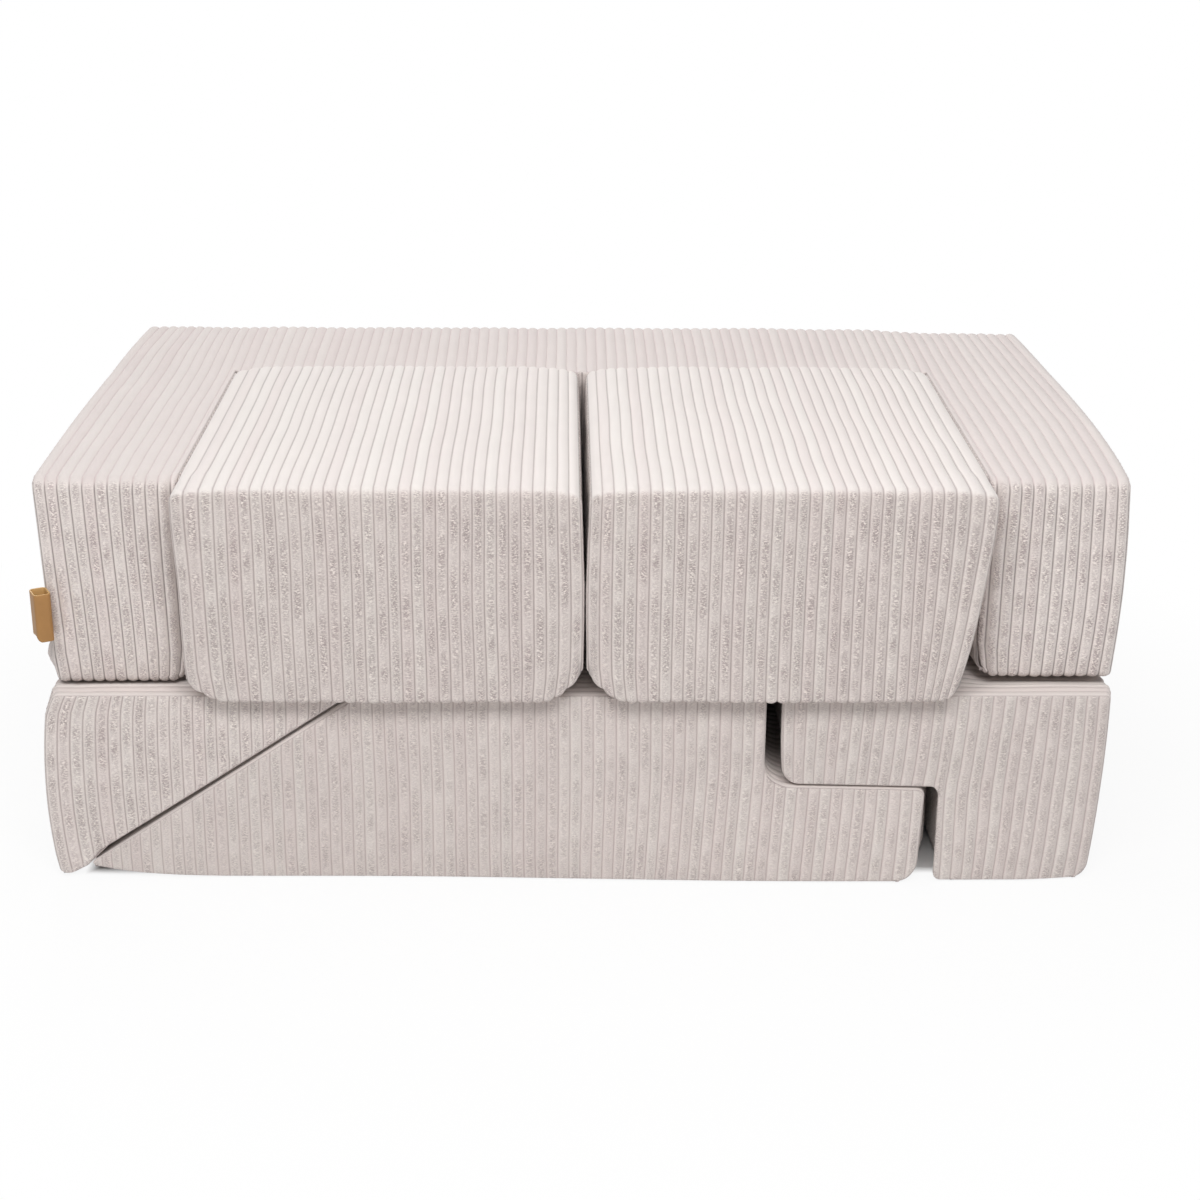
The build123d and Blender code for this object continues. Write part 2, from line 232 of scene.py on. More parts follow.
def corduroy(name, upright_pile, level_colour_with_painted_light, ruffle, upright_groove_shade, level_groove_shade):
    """Corduroy from its colours on upright and on level faces, the level colour holding painted light as
    well as the lie of the pile, its ruffle, and the painted shade of its grooves.
    """
    dye = Dye(name)
    uv = dye.node("UVMap", {"uv_map": "ribs"})
    across = dye.axis(uv, 0)
    along = dye.axis(uv, 1)
    level_facing = dye.node("Attribute", {"attribute_name": "level_facing"}, out="Fac")
    ruffled = 1 - level_facing
    rib = across.math("FLOOR")
    flank = across.math("FRACT") * 2 - 1
    off_centre = flank.math("ABSOLUTE")
    soft_step = {"interpolation_type": "SMOOTHSTEP"}
    in_groove = dye.node("MapRange", soft_step, off_centre, 0.76, 1.0, 0.0, 1.0)
    on_crown = dye.node("MapRange", soft_step, off_centre, 0.30, 0.80, 1.0, 0.15)
    own_tone = dye.node("TexWhiteNoise", {"noise_dimensions": "1D"}, W=rib)
    streak_at = dye.node("CombineXYZ", {}, rib * 3.7, along * 16.0, 0.0)
    streak = dye.node("TexNoise", {}, Vector=streak_at, Scale=1.0, Detail=2.0)
    spot = dye.place()
    cloud = dye.node("TexNoise", {}, Vector=spot, Scale=7.0, Detail=2.0)
    tuft_at = dye.node("CombineXYZ", {}, across * 5.0, along * 1050.0, rib * 3.3)
    tufts = dye.node("TexNoise", {}, Vector=tuft_at, Scale=1.0, Detail=2.0, Roughness=0.6, Distortion=0.3)
    tufts = dye.node("MapRange", soft_step, tufts, 0.43, 0.57, 0.0, 1.0)
    patches = dye.node("TexNoise", {}, Vector=streak_at, Scale=2.0, Detail=1.0)
    strength = dye.node("MapRange", {}, patches, 0.36, 0.64, 0.35, 1.0) * ruffled * on_crown
    fibre = dye.node("TexNoise", {}, Vector=spot, Scale=900.0, Detail=2.0)
    # The flank term paints one side of each rib lighter and the other darker: painted shading of the rib's
    # roundness.
    tone = 0.97 + (own_tone - 0.5) * 0.05 + (streak - 0.5) * 0.06 + (cloud - 0.5) * 0.05 - flank * 0.04
    tone = tone + (fibre - 0.5) * (0.05 + ruffled * 0.15)
    # Level faces take a colour of their own: partly the lie of the pile, partly painted light. It is
    # lighter than the upright colour on the seat cushions and darker on the back and the wedge.
    ground = dye.mix(level_facing, upright_pile, level_colour_with_painted_light)
    # The specks of the ruffled pile: partly the tufts' own tone, partly painted highlight and shade on the
    # tiny tufts.
    tuft_tone_and_shading = dye.mix(tufts, (0.68, 0.625, 0.645, 1), (1.27, 1.26, 1.24, 1))
    ground = dye.mix(strength * ruffle, ground, dye.mix(1.0, ground, tuft_tone_and_shading, blend="MULTIPLY"))
    warm = dye.mix(own_tone, (1.012, 0.994, 0.992, 1), (0.992, 1.002, 0.992, 1))
    ground = dye.mix(1.0, ground, warm, blend="MULTIPLY")
    # The grooves between the ribs are painted darker: painted shade, with its own depth on upright and on
    # level faces.
    shadow = dye.grey(upright_groove_shade + (level_groove_shade - upright_groove_shade) * level_facing)
    shadow = dye.mix(1.0, shadow, (1.0, 0.95, 0.965, 1), blend="MULTIPLY")
    ground = dye.mix(in_groove, ground, dye.mix(1.0, ground, shadow, blend="MULTIPLY"))
    colour = dye.mix(1.0, ground, dye.grey(tone), blend="MULTIPLY")
    height = tufts * strength * (0.0009 * ruffle) + fibre * (0.0001 + ruffled * 0.0002)
    bump = dye.node("Bump", {}, Strength=0.9, Distance=1.0, Height=height)
    return dye.finish(
        Base_Color=colour, Roughness=0.88 + tufts * 0.08, Normal=bump,
        Sheen_Weight=0.25, Sheen_Roughness=0.45, Specular_IOR_Level=0.2,
    )


lower_cloth = corduroy("corduroy_lower", (0.74, 0.675, 0.645, 1), (0.74, 0.675, 0.65, 1), 0.65, 0.74, 0.70)
wedge_cloth = corduroy("corduroy_wedge", (0.80, 0.732, 0.70, 1), (0.74, 0.675, 0.65, 1), 1.0, 0.62, 0.70)
upper_cloth = corduroy("corduroy_upper", (0.835, 0.765, 0.735, 1), (0.72, 0.655, 0.635, 1), 1.0, 0.42, 0.88)
seat_cloth = corduroy("corduroy_seat", (0.755, 0.688, 0.657, 1), (0.80, 0.745, 0.72, 1), 1.0, 0.60, 0.63)
base_cloths = {"wedge": wedge_cloth, "ramp_block": lower_cloth, "hook_block": lower_cloth}
print("corduroy:", lower_cloth.name, wedge_cloth.name, upper_cloth.name, seat_cloth.name)

# %% [markdown]
# A cover follows the outline of its foam block: straight runs joined by rounded corners. Such a line
# is needed many times, for the outlines of panels and for the way that a strip goes round a block, so
# it gets a small class. Its corners are listed clockwise, which puts the outside on the left of the
# way it runs.


# %% Fold lines
class Fold:
    """A line in a plane with the outward direction at each of its points."""

    def __init__(self, points, normals, arcs=()):
        self.points = np.array(points, float)
        self.normals = np.array(normals, float)
        self.arcs = list(arcs)
        self.along = np.concatenate([[0], np.cumsum(np.linalg.norm(np.diff(self.points, axis=0), axis=1))])
        self.length = self.along[-1]

    def at(self, run):
        """Place and outward direction at each distance along the line."""
        place = np.stack([np.interp(run, self.along, self.points[:, k]) for k in (0, 1)], axis=-1)
        normal = np.stack([np.interp(run, self.along, self.normals[:, k]) for k in (0, 1)], axis=-1)
        return place, normal / np.linalg.norm(normal, axis=-1, keepdims=True)

    def stations(self, step):
        """Distances along the line: every bend, and straight runs cut into pieces no longer than a step."""
        rows = [0.0]
        for start, end in zip(self.along[:-1], self.along[1:]):
            if end - start > 1e-7:
                rows += list(np.linspace(start, end, max(1, math.ceil((end - start) / step)) + 1)[1:])
        return np.array(rows)

    def part(self, first, last):
        """The piece of a closed line from one of its points to another, past its start if need be."""
        count = len(self.points) - 1
        chosen = [k % count for k in range(first, last + 1 if last >= first else last + count + 1)]
        return Fold(self.points[chosen], self.normals[chosen])


def left_of(direction):
    """The direction that lies to the left."""
    return np.array([-direction[1], direction[0]])


def rounded(corners, closed=False, bend=math.radians(10)):
    """A fold line through corners, each a point and its radius."""
    spots = [np.array(point, float) for point, radius in corners]
    count = len(spots)
    points, normals, arcs = [], [], []
    for index, (_, radius) in enumerate(corners):
        here = spots[index]
        before = here - spots[index - 1]
        after = spots[(index + 1) % count] - here
        if not closed and index == 0:
            before = after
        if not closed and index == count - 1:
            after = before
        before, after = before / np.linalg.norm(before), after / np.linalg.norm(after)
        turning = math.atan2(before[0] * after[1] - before[1] * after[0], float(before @ after))
        reach = radius * math.tan(abs(turning) / 2)
        centre = here - before * reach + left_of(before) * radius * math.copysign(1, turning)
        steps = max(1, math.ceil(abs(turning) / bend)) if radius else 0
        arcs.append((len(points), len(points) + steps))
        for step in range(steps + 1):
            angle = turning * step / steps if steps else 0
            turn = np.array([[math.cos(angle), math.sin(angle)], [-math.sin(angle), math.cos(angle)]])
            normal = left_of(before) @ turn
            points.append(centre - normal * radius * math.copysign(1, turning) if radius else here)
            normals.append(normal)
    if closed:
        points.append(points[0])
        normals.append(normals[0])
    return Fold(points, normals, arcs)


slope_foot = slope_shift * math.tan(slope_angle)
wedge_corners = [
    ((base_left, base_top), 0.007),
    ((base_left + wedge_run - slope_shift, base_top), 0.005),
    ((base_left, slope_foot), 0.005),
]
ramp_corners = [
    ((base_left + slope_shift, 0), 0.006),
    ((base_left + wedge_run + slope_shift, base_top), 0.012),
    ((step_x, base_top), 0.007),
    ((step_x, step_z), 0.030),
    ((ledge_end, step_z), 0.010),
    ((ledge_end, 0), 0.026),
]
hook_corners = [
    ((hook_left, base_top), 0.007),
    ((base_right, base_top), 0.007),
    ((base_right, 0), 0.018),
    ((leg_left, 0), 0.012),
    ((leg_left, hook_under), 0.008),
    ((hook_left, hook_under), 0.022),
]
wedge_outline, ramp_outline, hook_outline = (
    rounded(corners, closed=True) for corners in (wedge_corners, ramp_corners, hook_corners)
)
for fold in (wedge_outline, ramp_outline, hook_outline):
    print("an outline is", round(fold.length, 3), "m round")

# %% [markdown]
# Every panel is made the way a sewer makes it: cut flat, with its ribs straight, then folded round
# the block. The flat piece is a grid whose columns follow the ribs. Near a seam the cloth rolls over
# the edge of the foam and dives into the seam, so the rows stand closer there.

# %% Flat cutting
rib_width = 0.0131
fine_rib = (0, 0.04, 0.12, 0.3, 0.5, 0.7, 0.88, 0.96)
plain_rib = (0, 0.07, 0.25, 0.5, 0.75, 0.93)
seam_roll = 0.005
seam_lip = seam_roll * (1 - math.sin(math.pi / 4))
seam_depth = 0.003
seam_marks = (0, 0.0007, 0.0018, 0.0034, 0.006, 0.010)
hair = 1e-6


def rib_columns(low, high, steps, *extra):
    """Places across whole ribs between two lines, the width of a rib, and any extra places asked for."""
    count = round((high - low) / rib_width)
    width = (high - low) / count
    places = [low + (rib + step) * width for rib in range(count) for step in steps] + [high]
    places = [p for p in places if all(abs(p - other) > 0.0004 for other in extra)] + list(extra)
    return np.array(sorted(places)), width


def fill_rows(low, high, low_marks, high_marks, between):
    """Rows between two lines, for each column: at marked distances from both, and evenly between those."""
    low, high = np.atleast_1d(low)[:, None], np.atleast_1d(high)[:, None]
    low_marks, high_marks = np.array(low_marks)[None], np.array(high_marks)[None]
    squeeze = np.minimum(1, 0.95 * (high - low) / (low_marks.max() + high_marks.max()))
    start, end = low + squeeze * low_marks.max(), high - squeeze * high_marks.max()
    inner = start + (end - start) * np.linspace(0, 1, between + 2)[None, 1:-1]
    return np.concatenate([low + squeeze * low_marks, inner, high - squeeze * high_marks[:, ::-1]], axis=1)


def spans(outline, columns):
    """The lowest and highest place of each column inside an outline, up to the lip of the seam."""
    inner = (outline.points - outline.normals * seam_lip)[:-1]
    start = int(np.argmin(inner[:, 0]))
    ring = np.concatenate([inner[start:], inner[:start + 1]])
    turn = int(np.argmax(ring[:, 0]))
    upper, lower = ring[:turn + 1], ring[turn:][::-1]
    low = np.interp(columns, lower[:, 0], lower[:, 1])
    high = np.interp(columns, upper[:, 0], upper[:, 1])
    return low, high


def patch(columns, rows):
    """One grid of a flat piece: each point across and along. One set of rows serves all columns."""
    rows = np.broadcast_to(rows, (len(columns), rows.shape[-1]))
    return np.repeat(columns[:, None], rows.shape[1], axis=1), rows


def seams_of(points):
    """The segments of a line, as pairs of points."""
    return np.concatenate([points[:-1], points[1:]], axis=1)


print("a seam dives", seam_depth * 1000, "mm")
print("its lip stands", round(seam_lip * 1000, 2), "mm in from the edge")

# %% [markdown]
# Sewing turns the flat piece into a sheet in its place. A function says where each flat point lies on
# the block and which way is out. The ribs stand up from the sheet by 2.7 mm, and a little sway keeps
# them from looking machined. Last, the border is extruded once more and tucked into the seam, and
# Solidify gives the cloth its thickness.

# %% Sewing
rib_height = 0.0027
band_level = 0.0009
cloth_thickness = 0.0022
zip_slot_depth = 0.0050
made_pieces = []


def smooth(value):
    """A step from 0 to 1 with soft ends."""
    value = np.clip(value, 0, 1)
    return value * value * (3 - 2 * value)


def sway(points, seed, wave):
    """A gentle field from -1 to 1 over space that repeats nowhere nearby."""
    total = np.zeros(len(points))
    for turn in range(3):
        angle = seed * 1.7 + turn * 2.1
        way = np.array([math.cos(angle), math.sin(angle) * 0.8, math.sin(angle * 1.3 + 0.5)])
        total += np.sin(points @ way * (2 * math.pi / wave) * (1 + 0.37 * turn) + seed * 3.1 + turn)
    return total / 3


def seam_distance(flat, seams):
    """How far each flat point is from the nearest seam, and the direction away from that seam."""
    best = np.full(len(flat), 1e9)
    away = np.zeros((len(flat), 2))
    for a0, b0, a1, b1 in seams:
        start, run = np.array([a0, b0]), np.array([a1 - a0, b1 - b0])
        share = np.clip((flat - start) @ run / max(float(run @ run), 1e-18), 0, 1)
        offset = flat - (start + share[:, None] * run)
        distance = np.linalg.norm(offset, axis=1)
        nearer = distance < best
        best[nearer] = distance[nearer]
        away[nearer] = offset[nearer] / np.maximum(distance[nearer], 1e-9)[:, None]
    return best, away


def cut(patches, closed):
    """The flat piece: its grids merged, and its border extruded once, down to a height of -1."""
    flat = bmesh.new()
    for across, along in patches:
        columns, rows = across.shape
        grid = bmesh.ops.create_grid(flat, x_segments=columns - 1, y_segments=rows - 1, size=1)["verts"]
        for vert, a, b in zip(grid, across.T.ravel(), along.T.ravel()):
            vert.co = (a, b, 0)
    bmesh.ops.remove_doubles(flat, verts=flat.verts, dist=4 * hair)
    border = [edge for edge in flat.edges if edge.is_boundary]
    if closed:
        border = [edge for edge in border if abs(edge.verts[0].co.x - edge.verts[1].co.x) < hair]
    tuck = bmesh.ops.extrude_edge_only(flat, edges=border)["geom"]
    for vert in (item for item in tuck if isinstance(item, bmesh.types.BMVert)):
        vert.co.z = -1
    return flat


def number_ribs(mesh, ribs, along, level_facing):
    """Give a sheet its UV map, ribs across and metres along, and say how level each point lies."""
    loop_verts = np.empty(len(mesh.loops), dtype=np.int32)
    mesh.loops.foreach_get("vertex_index", loop_verts)
    layer = mesh.uv_layers.new(name="ribs")
    counted = np.stack([ribs, along], axis=1)[loop_verts]
    layer.data.foreach_set("uv", counted.astype(np.float32).ravel())
    level_facing_layer = mesh.attributes.new("level_facing", "FLOAT", "POINT")
    level_facing_layer.data.foreach_set("value", level_facing.astype(np.float32))


def face_outwards(mesh, normals):
    """Turn a sheet over if its faces look into the block."""
    facing = np.empty(len(mesh.vertices) * 3, dtype=np.float32)
    mesh.vertex_normals.foreach_get("vector", facing)
    if (facing.reshape(-1, 3) * normals).sum() < 0:
        mesh.flip_normals()


def close_band(mesh):
    """Join the first and last row of a band that goes all the way round."""
    joined = bmesh.new()
    joined.from_mesh(mesh)
    bmesh.ops.remove_doubles(joined, verts=joined.verts, dist=2e-5)
    joined.to_mesh(mesh)
    joined.free()


def link(name, mesh, body, node):
    """Put a finished mesh in the scene as the piece that stands for a node."""
    piece = bpy.data.objects.new(name, mesh)
    bpy.context.scene.collection.objects.link(piece)
    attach(piece, body)
    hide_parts(node)
    return piece


def sew(node, body, patches, seams, place, origin, width, cloth, band=0.0028, closed=False, opening=None,
        pillow=0.0, seed=1.0, warp=None, lean=None):
    """Make the sheet that stands for a cover panel of the frame."""
    flat = cut(patches, closed)
    mesh = bpy.data.meshes.new(node)
    flat.to_mesh(mesh)
    flat.free()
    spot = np.empty(len(mesh.vertices) * 3)
    mesh.vertices.foreach_get("co", spot)
    spot = spot.reshape(-1, 3)
    tucked = spot[:, 2] < -0.5
    flat_at = spot[:, :2].copy()
    ribs = (flat_at[:, 0] - origin) / width
    gap, away = seam_distance(flat_at, seams)
    inside = np.maximum(gap - seam_lip, 0)
    raised = smooth(inside / band)
    depth = seam_roll - np.sqrt(np.maximum(seam_roll ** 2 - np.maximum(seam_roll - gap, 0) ** 2, 0))
    sunk = np.zeros(len(flat_at))
    if opening:
        left, right, low, high = opening
        near = np.minimum.reduce([
            flat_at[:, 0] - left, right - flat_at[:, 0], flat_at[:, 1] - low, high - flat_at[:, 1],
        ])
        sunk = smooth(near / 0.0008)
        raised = raised * smooth(-(near - 0.0002) / 0.004)
    base_at, _ = place(flat_at[:, 0], flat_at[:, 1])
    calm = smooth(gap / 0.03)
    profile = 1 - np.abs(2 * (ribs % 1) - 1) ** 2.3
    number = np.floor(ribs + 1e-6)
    own = np.modf(np.abs(np.sin(number * 12.9898 + seed) * 4375.85))[0]
    uneven = 0.94 + 0.06 * sway(base_at + number[:, None] * 0.31, seed, 0.09)
    height = rib_height * (0.86 + 0.14 * own) * uneven
    depth = depth + raised * (rib_height - height * profile) + (1 - raised) * band_level
    depth = depth + zip_slot_depth * sunk - pillow * (1 - np.exp(-gap / 0.05))
    depth = depth - 0.0008 * calm * sway(base_at, seed, 0.13)
    shift = away * (band_level * np.exp(-inside / 0.004))[:, None]
    shift[tucked] += away[tucked] * seam_depth / math.sqrt(2)
    depth[tucked] += seam_depth / math.sqrt(2)
    low_end, high_end = flat_at.min(axis=0), flat_at.max(axis=0)
    corner = tucked & np.all(np.minimum(flat_at - low_end, high_end - flat_at) < 1e-5, axis=1)
    shift[corner] = np.sign((low_end + high_end) / 2 - flat_at[corner]) * 0.0035
    depth[corner] += 0.0015
    flat_moved = flat_at + shift
    flat_moved[:, 0] += 0.0009 * calm * sway(base_at + 3, seed + 2, 0.30)
    if lean:
        flat_moved[:, 0] += lean(flat_at)
    points, normals = place(flat_moved[:, 0], flat_moved[:, 1])
    points = points - normals * depth[:, None]
    if warp:
        points = warp(points)
    mesh.vertices.foreach_set("co", points.ravel())
    mesh.update()
    # How level each point lies; the material paints light and shade on level faces by it.
    number_ribs(mesh, ribs, flat_at[:, 1], smooth((normals[:, 2] - 0.45) / 0.45))
    face_outwards(mesh, normals)
    if closed:
        close_band(mesh)
    mesh.shade_smooth()
    mesh.materials.append(cloth)
    piece = link(node + "_cover", mesh, body, node)
    thick = piece.modifiers.new("cloth", "SOLIDIFY")
    thick.thickness = cloth_thickness
    thick.offset = -1
    made_pieces.append(piece)
    print(f"{node}: {int(ribs.max())} ribs, {len(mesh.polygons) * 4} triangles with its thickness")
    return piece


print("sewing is ready")

# %% [markdown]
# The foam is soft, so no block is a true prism. The wedge bulges to the left in the middle of its
# height, and the block with the hook leans in towards the floor at its right end. The same warp goes
# over every piece of a block, so its panels stay together.

# %% How the lower blocks give


def swelled(x, y, z, facing):
    """How far the edges along the slope swell over the gap: out for the wedge (1), back for the ramp."""
    off = np.abs(math.cos(slope_angle) * z - math.sin(slope_angle) * (x - base_left))
    climb = np.clip((x - base_left) / wedge_run, 0, 1)
    size = 0.0045 * (1 - climb) ** 2 - 0.0028 * climb
    swell = size * facing * np.exp(-off / 0.010 - np.maximum(y - base_front, 0) / 0.006)
    return swell * math.sin(slope_angle), -swell * math.cos(slope_angle)


def hidden(y, start=0.045, run=0.10):
    """1 deep inside the gaps between the blocks, and 0 near the front and rear, where they show."""
    return smooth((y - base_front - start) / run) * smooth((base_rear - 0.030 - y) / 0.10)


def tilted(x, z):
    """How far the ledge, and the hook that lies on it, rise towards the step."""
    share = np.clip((x - step_x) / (leg_left - step_x), 0, 1)
    return 0.005 * (1 - share) * np.exp(-np.abs(z - step_z) / 0.03)


def spread(y, z):
    """1 just behind the front top corners of the lower layer, where the cloth spreads out sideways."""
    behind = smooth((y - base_front - 0.002) / 0.030) * (1 - smooth((y - base_front - 0.06) / 0.06))
    return behind * smooth((z - base_top + 0.07) / 0.06)


def pressed(x, y, z):
    """How far the top is pressed down under the front edge of an arm."""
    under = smooth((y - arm_front + 0.003) / 0.010) * smooth((arm_front + 0.070 - y) / 0.040)
    outer = smooth((np.abs(x) - recess_half + 0.01) / 0.02)
    return 0.004 * under * smooth((z - base_top + 0.030) / 0.025) * outer


def wedge_warp(points):
    """Bulge the left side of the wedge, down to its blunt foot, and swell its edge along the slope."""
    x, y, z = points.T.copy()
    over_x, over_z = swelled(x, y, z, 1)
    z -= pressed(x, y, z)
    rise = np.clip(z / base_top, 0, 1)
    near = np.exp(-np.maximum(x - base_left, 0) / 0.10)
    off = np.abs(math.cos(slope_angle) * z - math.sin(slope_angle) * (x - base_left))
    at_tip = smooth((base_left + 0.049 - x) / 0.018)
    blunt = np.minimum(0.010, np.maximum(z - 0.002, 0)) * at_tip * np.exp(-off / 0.02)
    lift = 0.008 * np.exp(-off / 0.02 - np.maximum(x - base_left, 0) / 0.03) * smooth((0.03 - z) / 0.03)
    side = 0.013 * np.sin(math.pi * rise) ** 0.6 + 0.008 - 0.004 * rise
    side = side - 0.005 * smooth((rise - 0.88) / 0.12)
    x += over_x - (side + 0.005 * spread(y, z)) * near
    return np.stack([x, y, z + over_z - blunt + lift], axis=1)


def ramp_warp(points):
    """Curl the thin tip up the slope, push the foot of the front out, and close the gaps deep inside."""
    x, y, z = points.T.copy()
    over_x, over_z = swelled(x, y, z, -1)
    tip = 0.021 * (1 - np.clip((x - base_left) / 0.20, 0, 1)) ** 2.5
    off = math.sin(slope_angle) * (x - base_left) - math.cos(slope_angle) * z
    thin = 0.004 * np.exp(-np.maximum(x - base_left - 0.03, 0) / 0.06) * np.clip(off / 0.008, 0, 1)
    foot = smooth((0.13 - z) / 0.13) * smooth(-y / 0.30)
    fall = np.clip(1 - z / step_z, 0, 1)
    below_ledge = smooth((0.118 - z) / 0.02)
    off_floor = np.sqrt(np.clip(z / 0.025, 0, 1))
    end = np.exp(-np.maximum(ledge_end - x, 0) / 0.04) * below_ledge * off_floor
    step = np.exp(-np.maximum(step_x - x, 0) / 0.03) * smooth((z - 0.14) / 0.02)
    x += 0.015 * end * hidden(y, 0.012, 0.06) + 0.0072 * step * hidden(y)
    slant = 0.002 - 0.009 * fall * (1 - hidden(y))
    x += slant * np.exp(-np.maximum(ledge_end - x, 0) / 0.05) * below_ledge
    y -= (0.004 + 0.015 * smooth((x + 0.30) / 0.60)) * foot
    x += tip * math.cos(slope_angle) + over_x
    z += tip * math.sin(slope_angle) + thin + over_z + tilted(x, z) * smooth((x - step_x + 0.03) / 0.03)
    return np.stack([x, y, z], axis=1)


def hook_warp(points):
    """Bulge the right end a little, draw its foot in, and swell the leg to the left."""
    x, y, z = points.T.copy()
    fall = 1 - np.clip(z / base_top, 0, 1)
    right = np.clip((x - leg_left - 0.02) / (base_right - leg_left - 0.02), 0, 1)
    below = smooth((hook_under + 0.020 - z) / 0.020)
    inner = np.exp(-np.abs(x - leg_left) / 0.06) * below
    x += (0.002 * np.sin(math.pi * fall) - 0.011 * fall ** 2 + 0.006 * spread(y, z)) * right
    z -= pressed(x, y, z)
    low = np.clip(1 - z / hook_under, 0, 1)
    x -= (0.0015 - 0.004 * low) * inner
    from_corner = np.maximum(x - hook_left, 0) / 0.02 + np.maximum(z - hook_under, 0) / 0.03
    x += 0.006 * np.exp(-from_corner) * (1 - inner)
    behind = smooth((y - base_front - 0.005) / 0.08) * (1 - smooth((y - base_front - 0.15) / 0.15))
    x += 0.010 * np.exp(-np.maximum(x - hook_left, 0) / 0.03) * smooth((z - 0.105) / 0.02) * behind
    z += tilted(x, z) * (1 - right)
    forward = 0.015 * (1 - smooth((x - 0.50) / 0.15))
    y -= forward * smooth((0.13 - z) / 0.13) * smooth(-y / 0.30)
    return np.stack([x, y, z], axis=1)


half_way_up = np.array([[base_left, 0, base_top / 2]])
print("at mid height the wedge bulges", wedge_warp(half_way_up)[0, 0] - base_left)

# %% [markdown]
# The front and rear panels of the lower blocks stand upright, with their ribs upright too. The wedge
# is one grid. The other two outlines turn inwards, at the step and under the hook, so each is two
# grids that share a column there.

# %% Front and rear panels of the lower blocks


def upright(y, facing):
    """Places on an upright plane that faces the front (-1) or the rear (1)."""
    def place(across, along):
        points = np.stack([across, np.full_like(across, y), along], axis=1)
        return points, np.tile([0.0, facing, 0.0], (len(across), 1))
    return place


def zip_marks(distance):
    """Marks either side of a zip opening whose middle is at a distance from the lip of a seam."""
    return tuple(distance + offset for offset in (-0.0100, -0.0072, -0.006, -0.005, 0.005, 0.006, 0.0072))


def base_panel(node, body, outline, facing, steps, between, warp, seed, split=None, low_zip=(), high_zip=(),
               opening=None, lean=None):
    """A front or rear panel of a lower block. Split is the place where its outline turns inwards."""
    inner = outline.points - outline.normals * seam_lip
    low_x, high_x = inner[:, 0].min() + hair, inner[:, 0].max() - hair
    low_marks, high_marks = seam_marks + low_zip, seam_marks + high_zip
    columns, width = rib_columns(low_x, high_x, steps)
    if split:
        kept = [place for place in columns if abs(place - split[0]) > 0.0004]
        columns = np.array(sorted(kept + [split[0] - hair, split[0] + hair]))
    low, high = spans(outline, columns)
    if not split:
        patches = [patch(columns, fill_rows(low, high, low_marks, high_marks, sum(between)))]
    else:
        step_side = outline is ramp_outline
        tall = columns < split[0] if step_side else columns > split[0]
        edge = -1 if step_side else 0
        rise = high[tall] - low[tall]
        share = (split[1] - low[tall][edge]) / rise[edge]
        middle = low[tall] + np.maximum(share * rise, np.minimum(max(low_marks) + 0.0105, 0.9 * rise))
        lower = fill_rows(low[tall], middle, low_marks, middle_marks, between[0])
        upper = fill_rows(middle, high[tall], middle_marks, high_marks, between[1])
        patches = [patch(columns[tall], np.concatenate([lower, upper[:, 1:]], axis=1))]
        if step_side:
            rest = fill_rows(low[~tall], high[~tall], low_marks, middle_marks, between[0])
        else:
            rest = fill_rows(low[~tall], high[~tall], middle_marks, high_marks, between[1])
        patches.append(patch(columns[~tall], rest))
    y = base_front if facing < 0 else base_rear
    sew(node, body, patches, seams_of(outline.points), upright(y, facing), low_x, width, base_cloths[body],
        opening=opening, pillow=0.002, seed=seed, warp=warp, lean=lean)


def ramp_lean(flat):
    """The ribs of the ramp block slant a little below its step."""
    window = smooth((flat[:, 0] + 0.05) / 0.22) * smooth((ledge_end - flat[:, 0]) / 0.07)
    return -0.009 * window * (1 - np.minimum(flat[:, 1] / 0.13, 1))


def hook_lean(flat):
    """The ribs of the hook slant to the left on their way down."""
    window = smooth((flat[:, 0] - hook_left) / 0.12) * smooth((base_right - flat[:, 0]) / 0.10)
    return -0.013 * window * (1 - flat[:, 1] / base_top)


middle_marks = (0, 0.0012, 0.0030, 0.006)
step_turn = (step_x - seam_lip, step_z + 0.030)
leg_turn = (leg_left + seam_lip, hook_under - 0.008)
base_panel("wedge_front_panel", "wedge", wedge_outline, -1, fine_rib, (8, 8), wedge_warp, 1)
base_panel("ramp_block_front_panel", "ramp_block", ramp_outline, -1, fine_rib, (6, 4), ramp_warp, 2,
           step_turn, lean=ramp_lean)
base_panel("hook_block_front_panel", "hook_block", hook_outline, -1, fine_rib, (5, 6), hook_warp, 3,
           leg_turn, lean=hook_lean)

# %% [markdown]
# Each cover comes off to be washed, through a zip in its rear panel. The cloth is sunk there by the
# depth of the tape, with rows placed along both edges of the opening, so that it has crisp folded
# lips.

# %% Rear panels with zip openings
zip_half = 0.006
wedge_zip = (-0.5680, -0.3614, 0.188)
ramp_zip = (-0.4622, 0.3640, 0.060)
hook_zip = (0.2480, 0.5680, 0.174)


def opening_of(zip_line):
    """The flat rectangle that a zip closes: left, right, low and high."""
    left, right, z = zip_line
    return left, right, z - zip_half, z + zip_half


base_panel("wedge_back_panel", "wedge", wedge_outline, 1, plain_rib, (5, 5), wedge_warp, 4,
           high_zip=zip_marks(base_top - seam_lip - wedge_zip[2]), opening=opening_of(wedge_zip))
base_panel("ramp_block_back_panel", "ramp_block", ramp_outline, 1, plain_rib, (3, 3), ramp_warp, 5,
           step_turn, low_zip=zip_marks(ramp_zip[2] - seam_lip), opening=opening_of(ramp_zip))
base_panel("hook_block_back_panel", "hook_block", hook_outline, 1, plain_rib, (4, 3), hook_warp, 6,
           leg_turn, high_zip=zip_marks(base_top - seam_lip - hook_zip[2]), opening=opening_of(hook_zip))

# %% [markdown]
# A boxing strip goes round each lower block between the front and rear panels, and its ribs run along
# it, round every corner of the outline. A second strip closes the block below, or along the slope of
# the wedge. Both are the same flat rectangle, folded along a part of the outline.

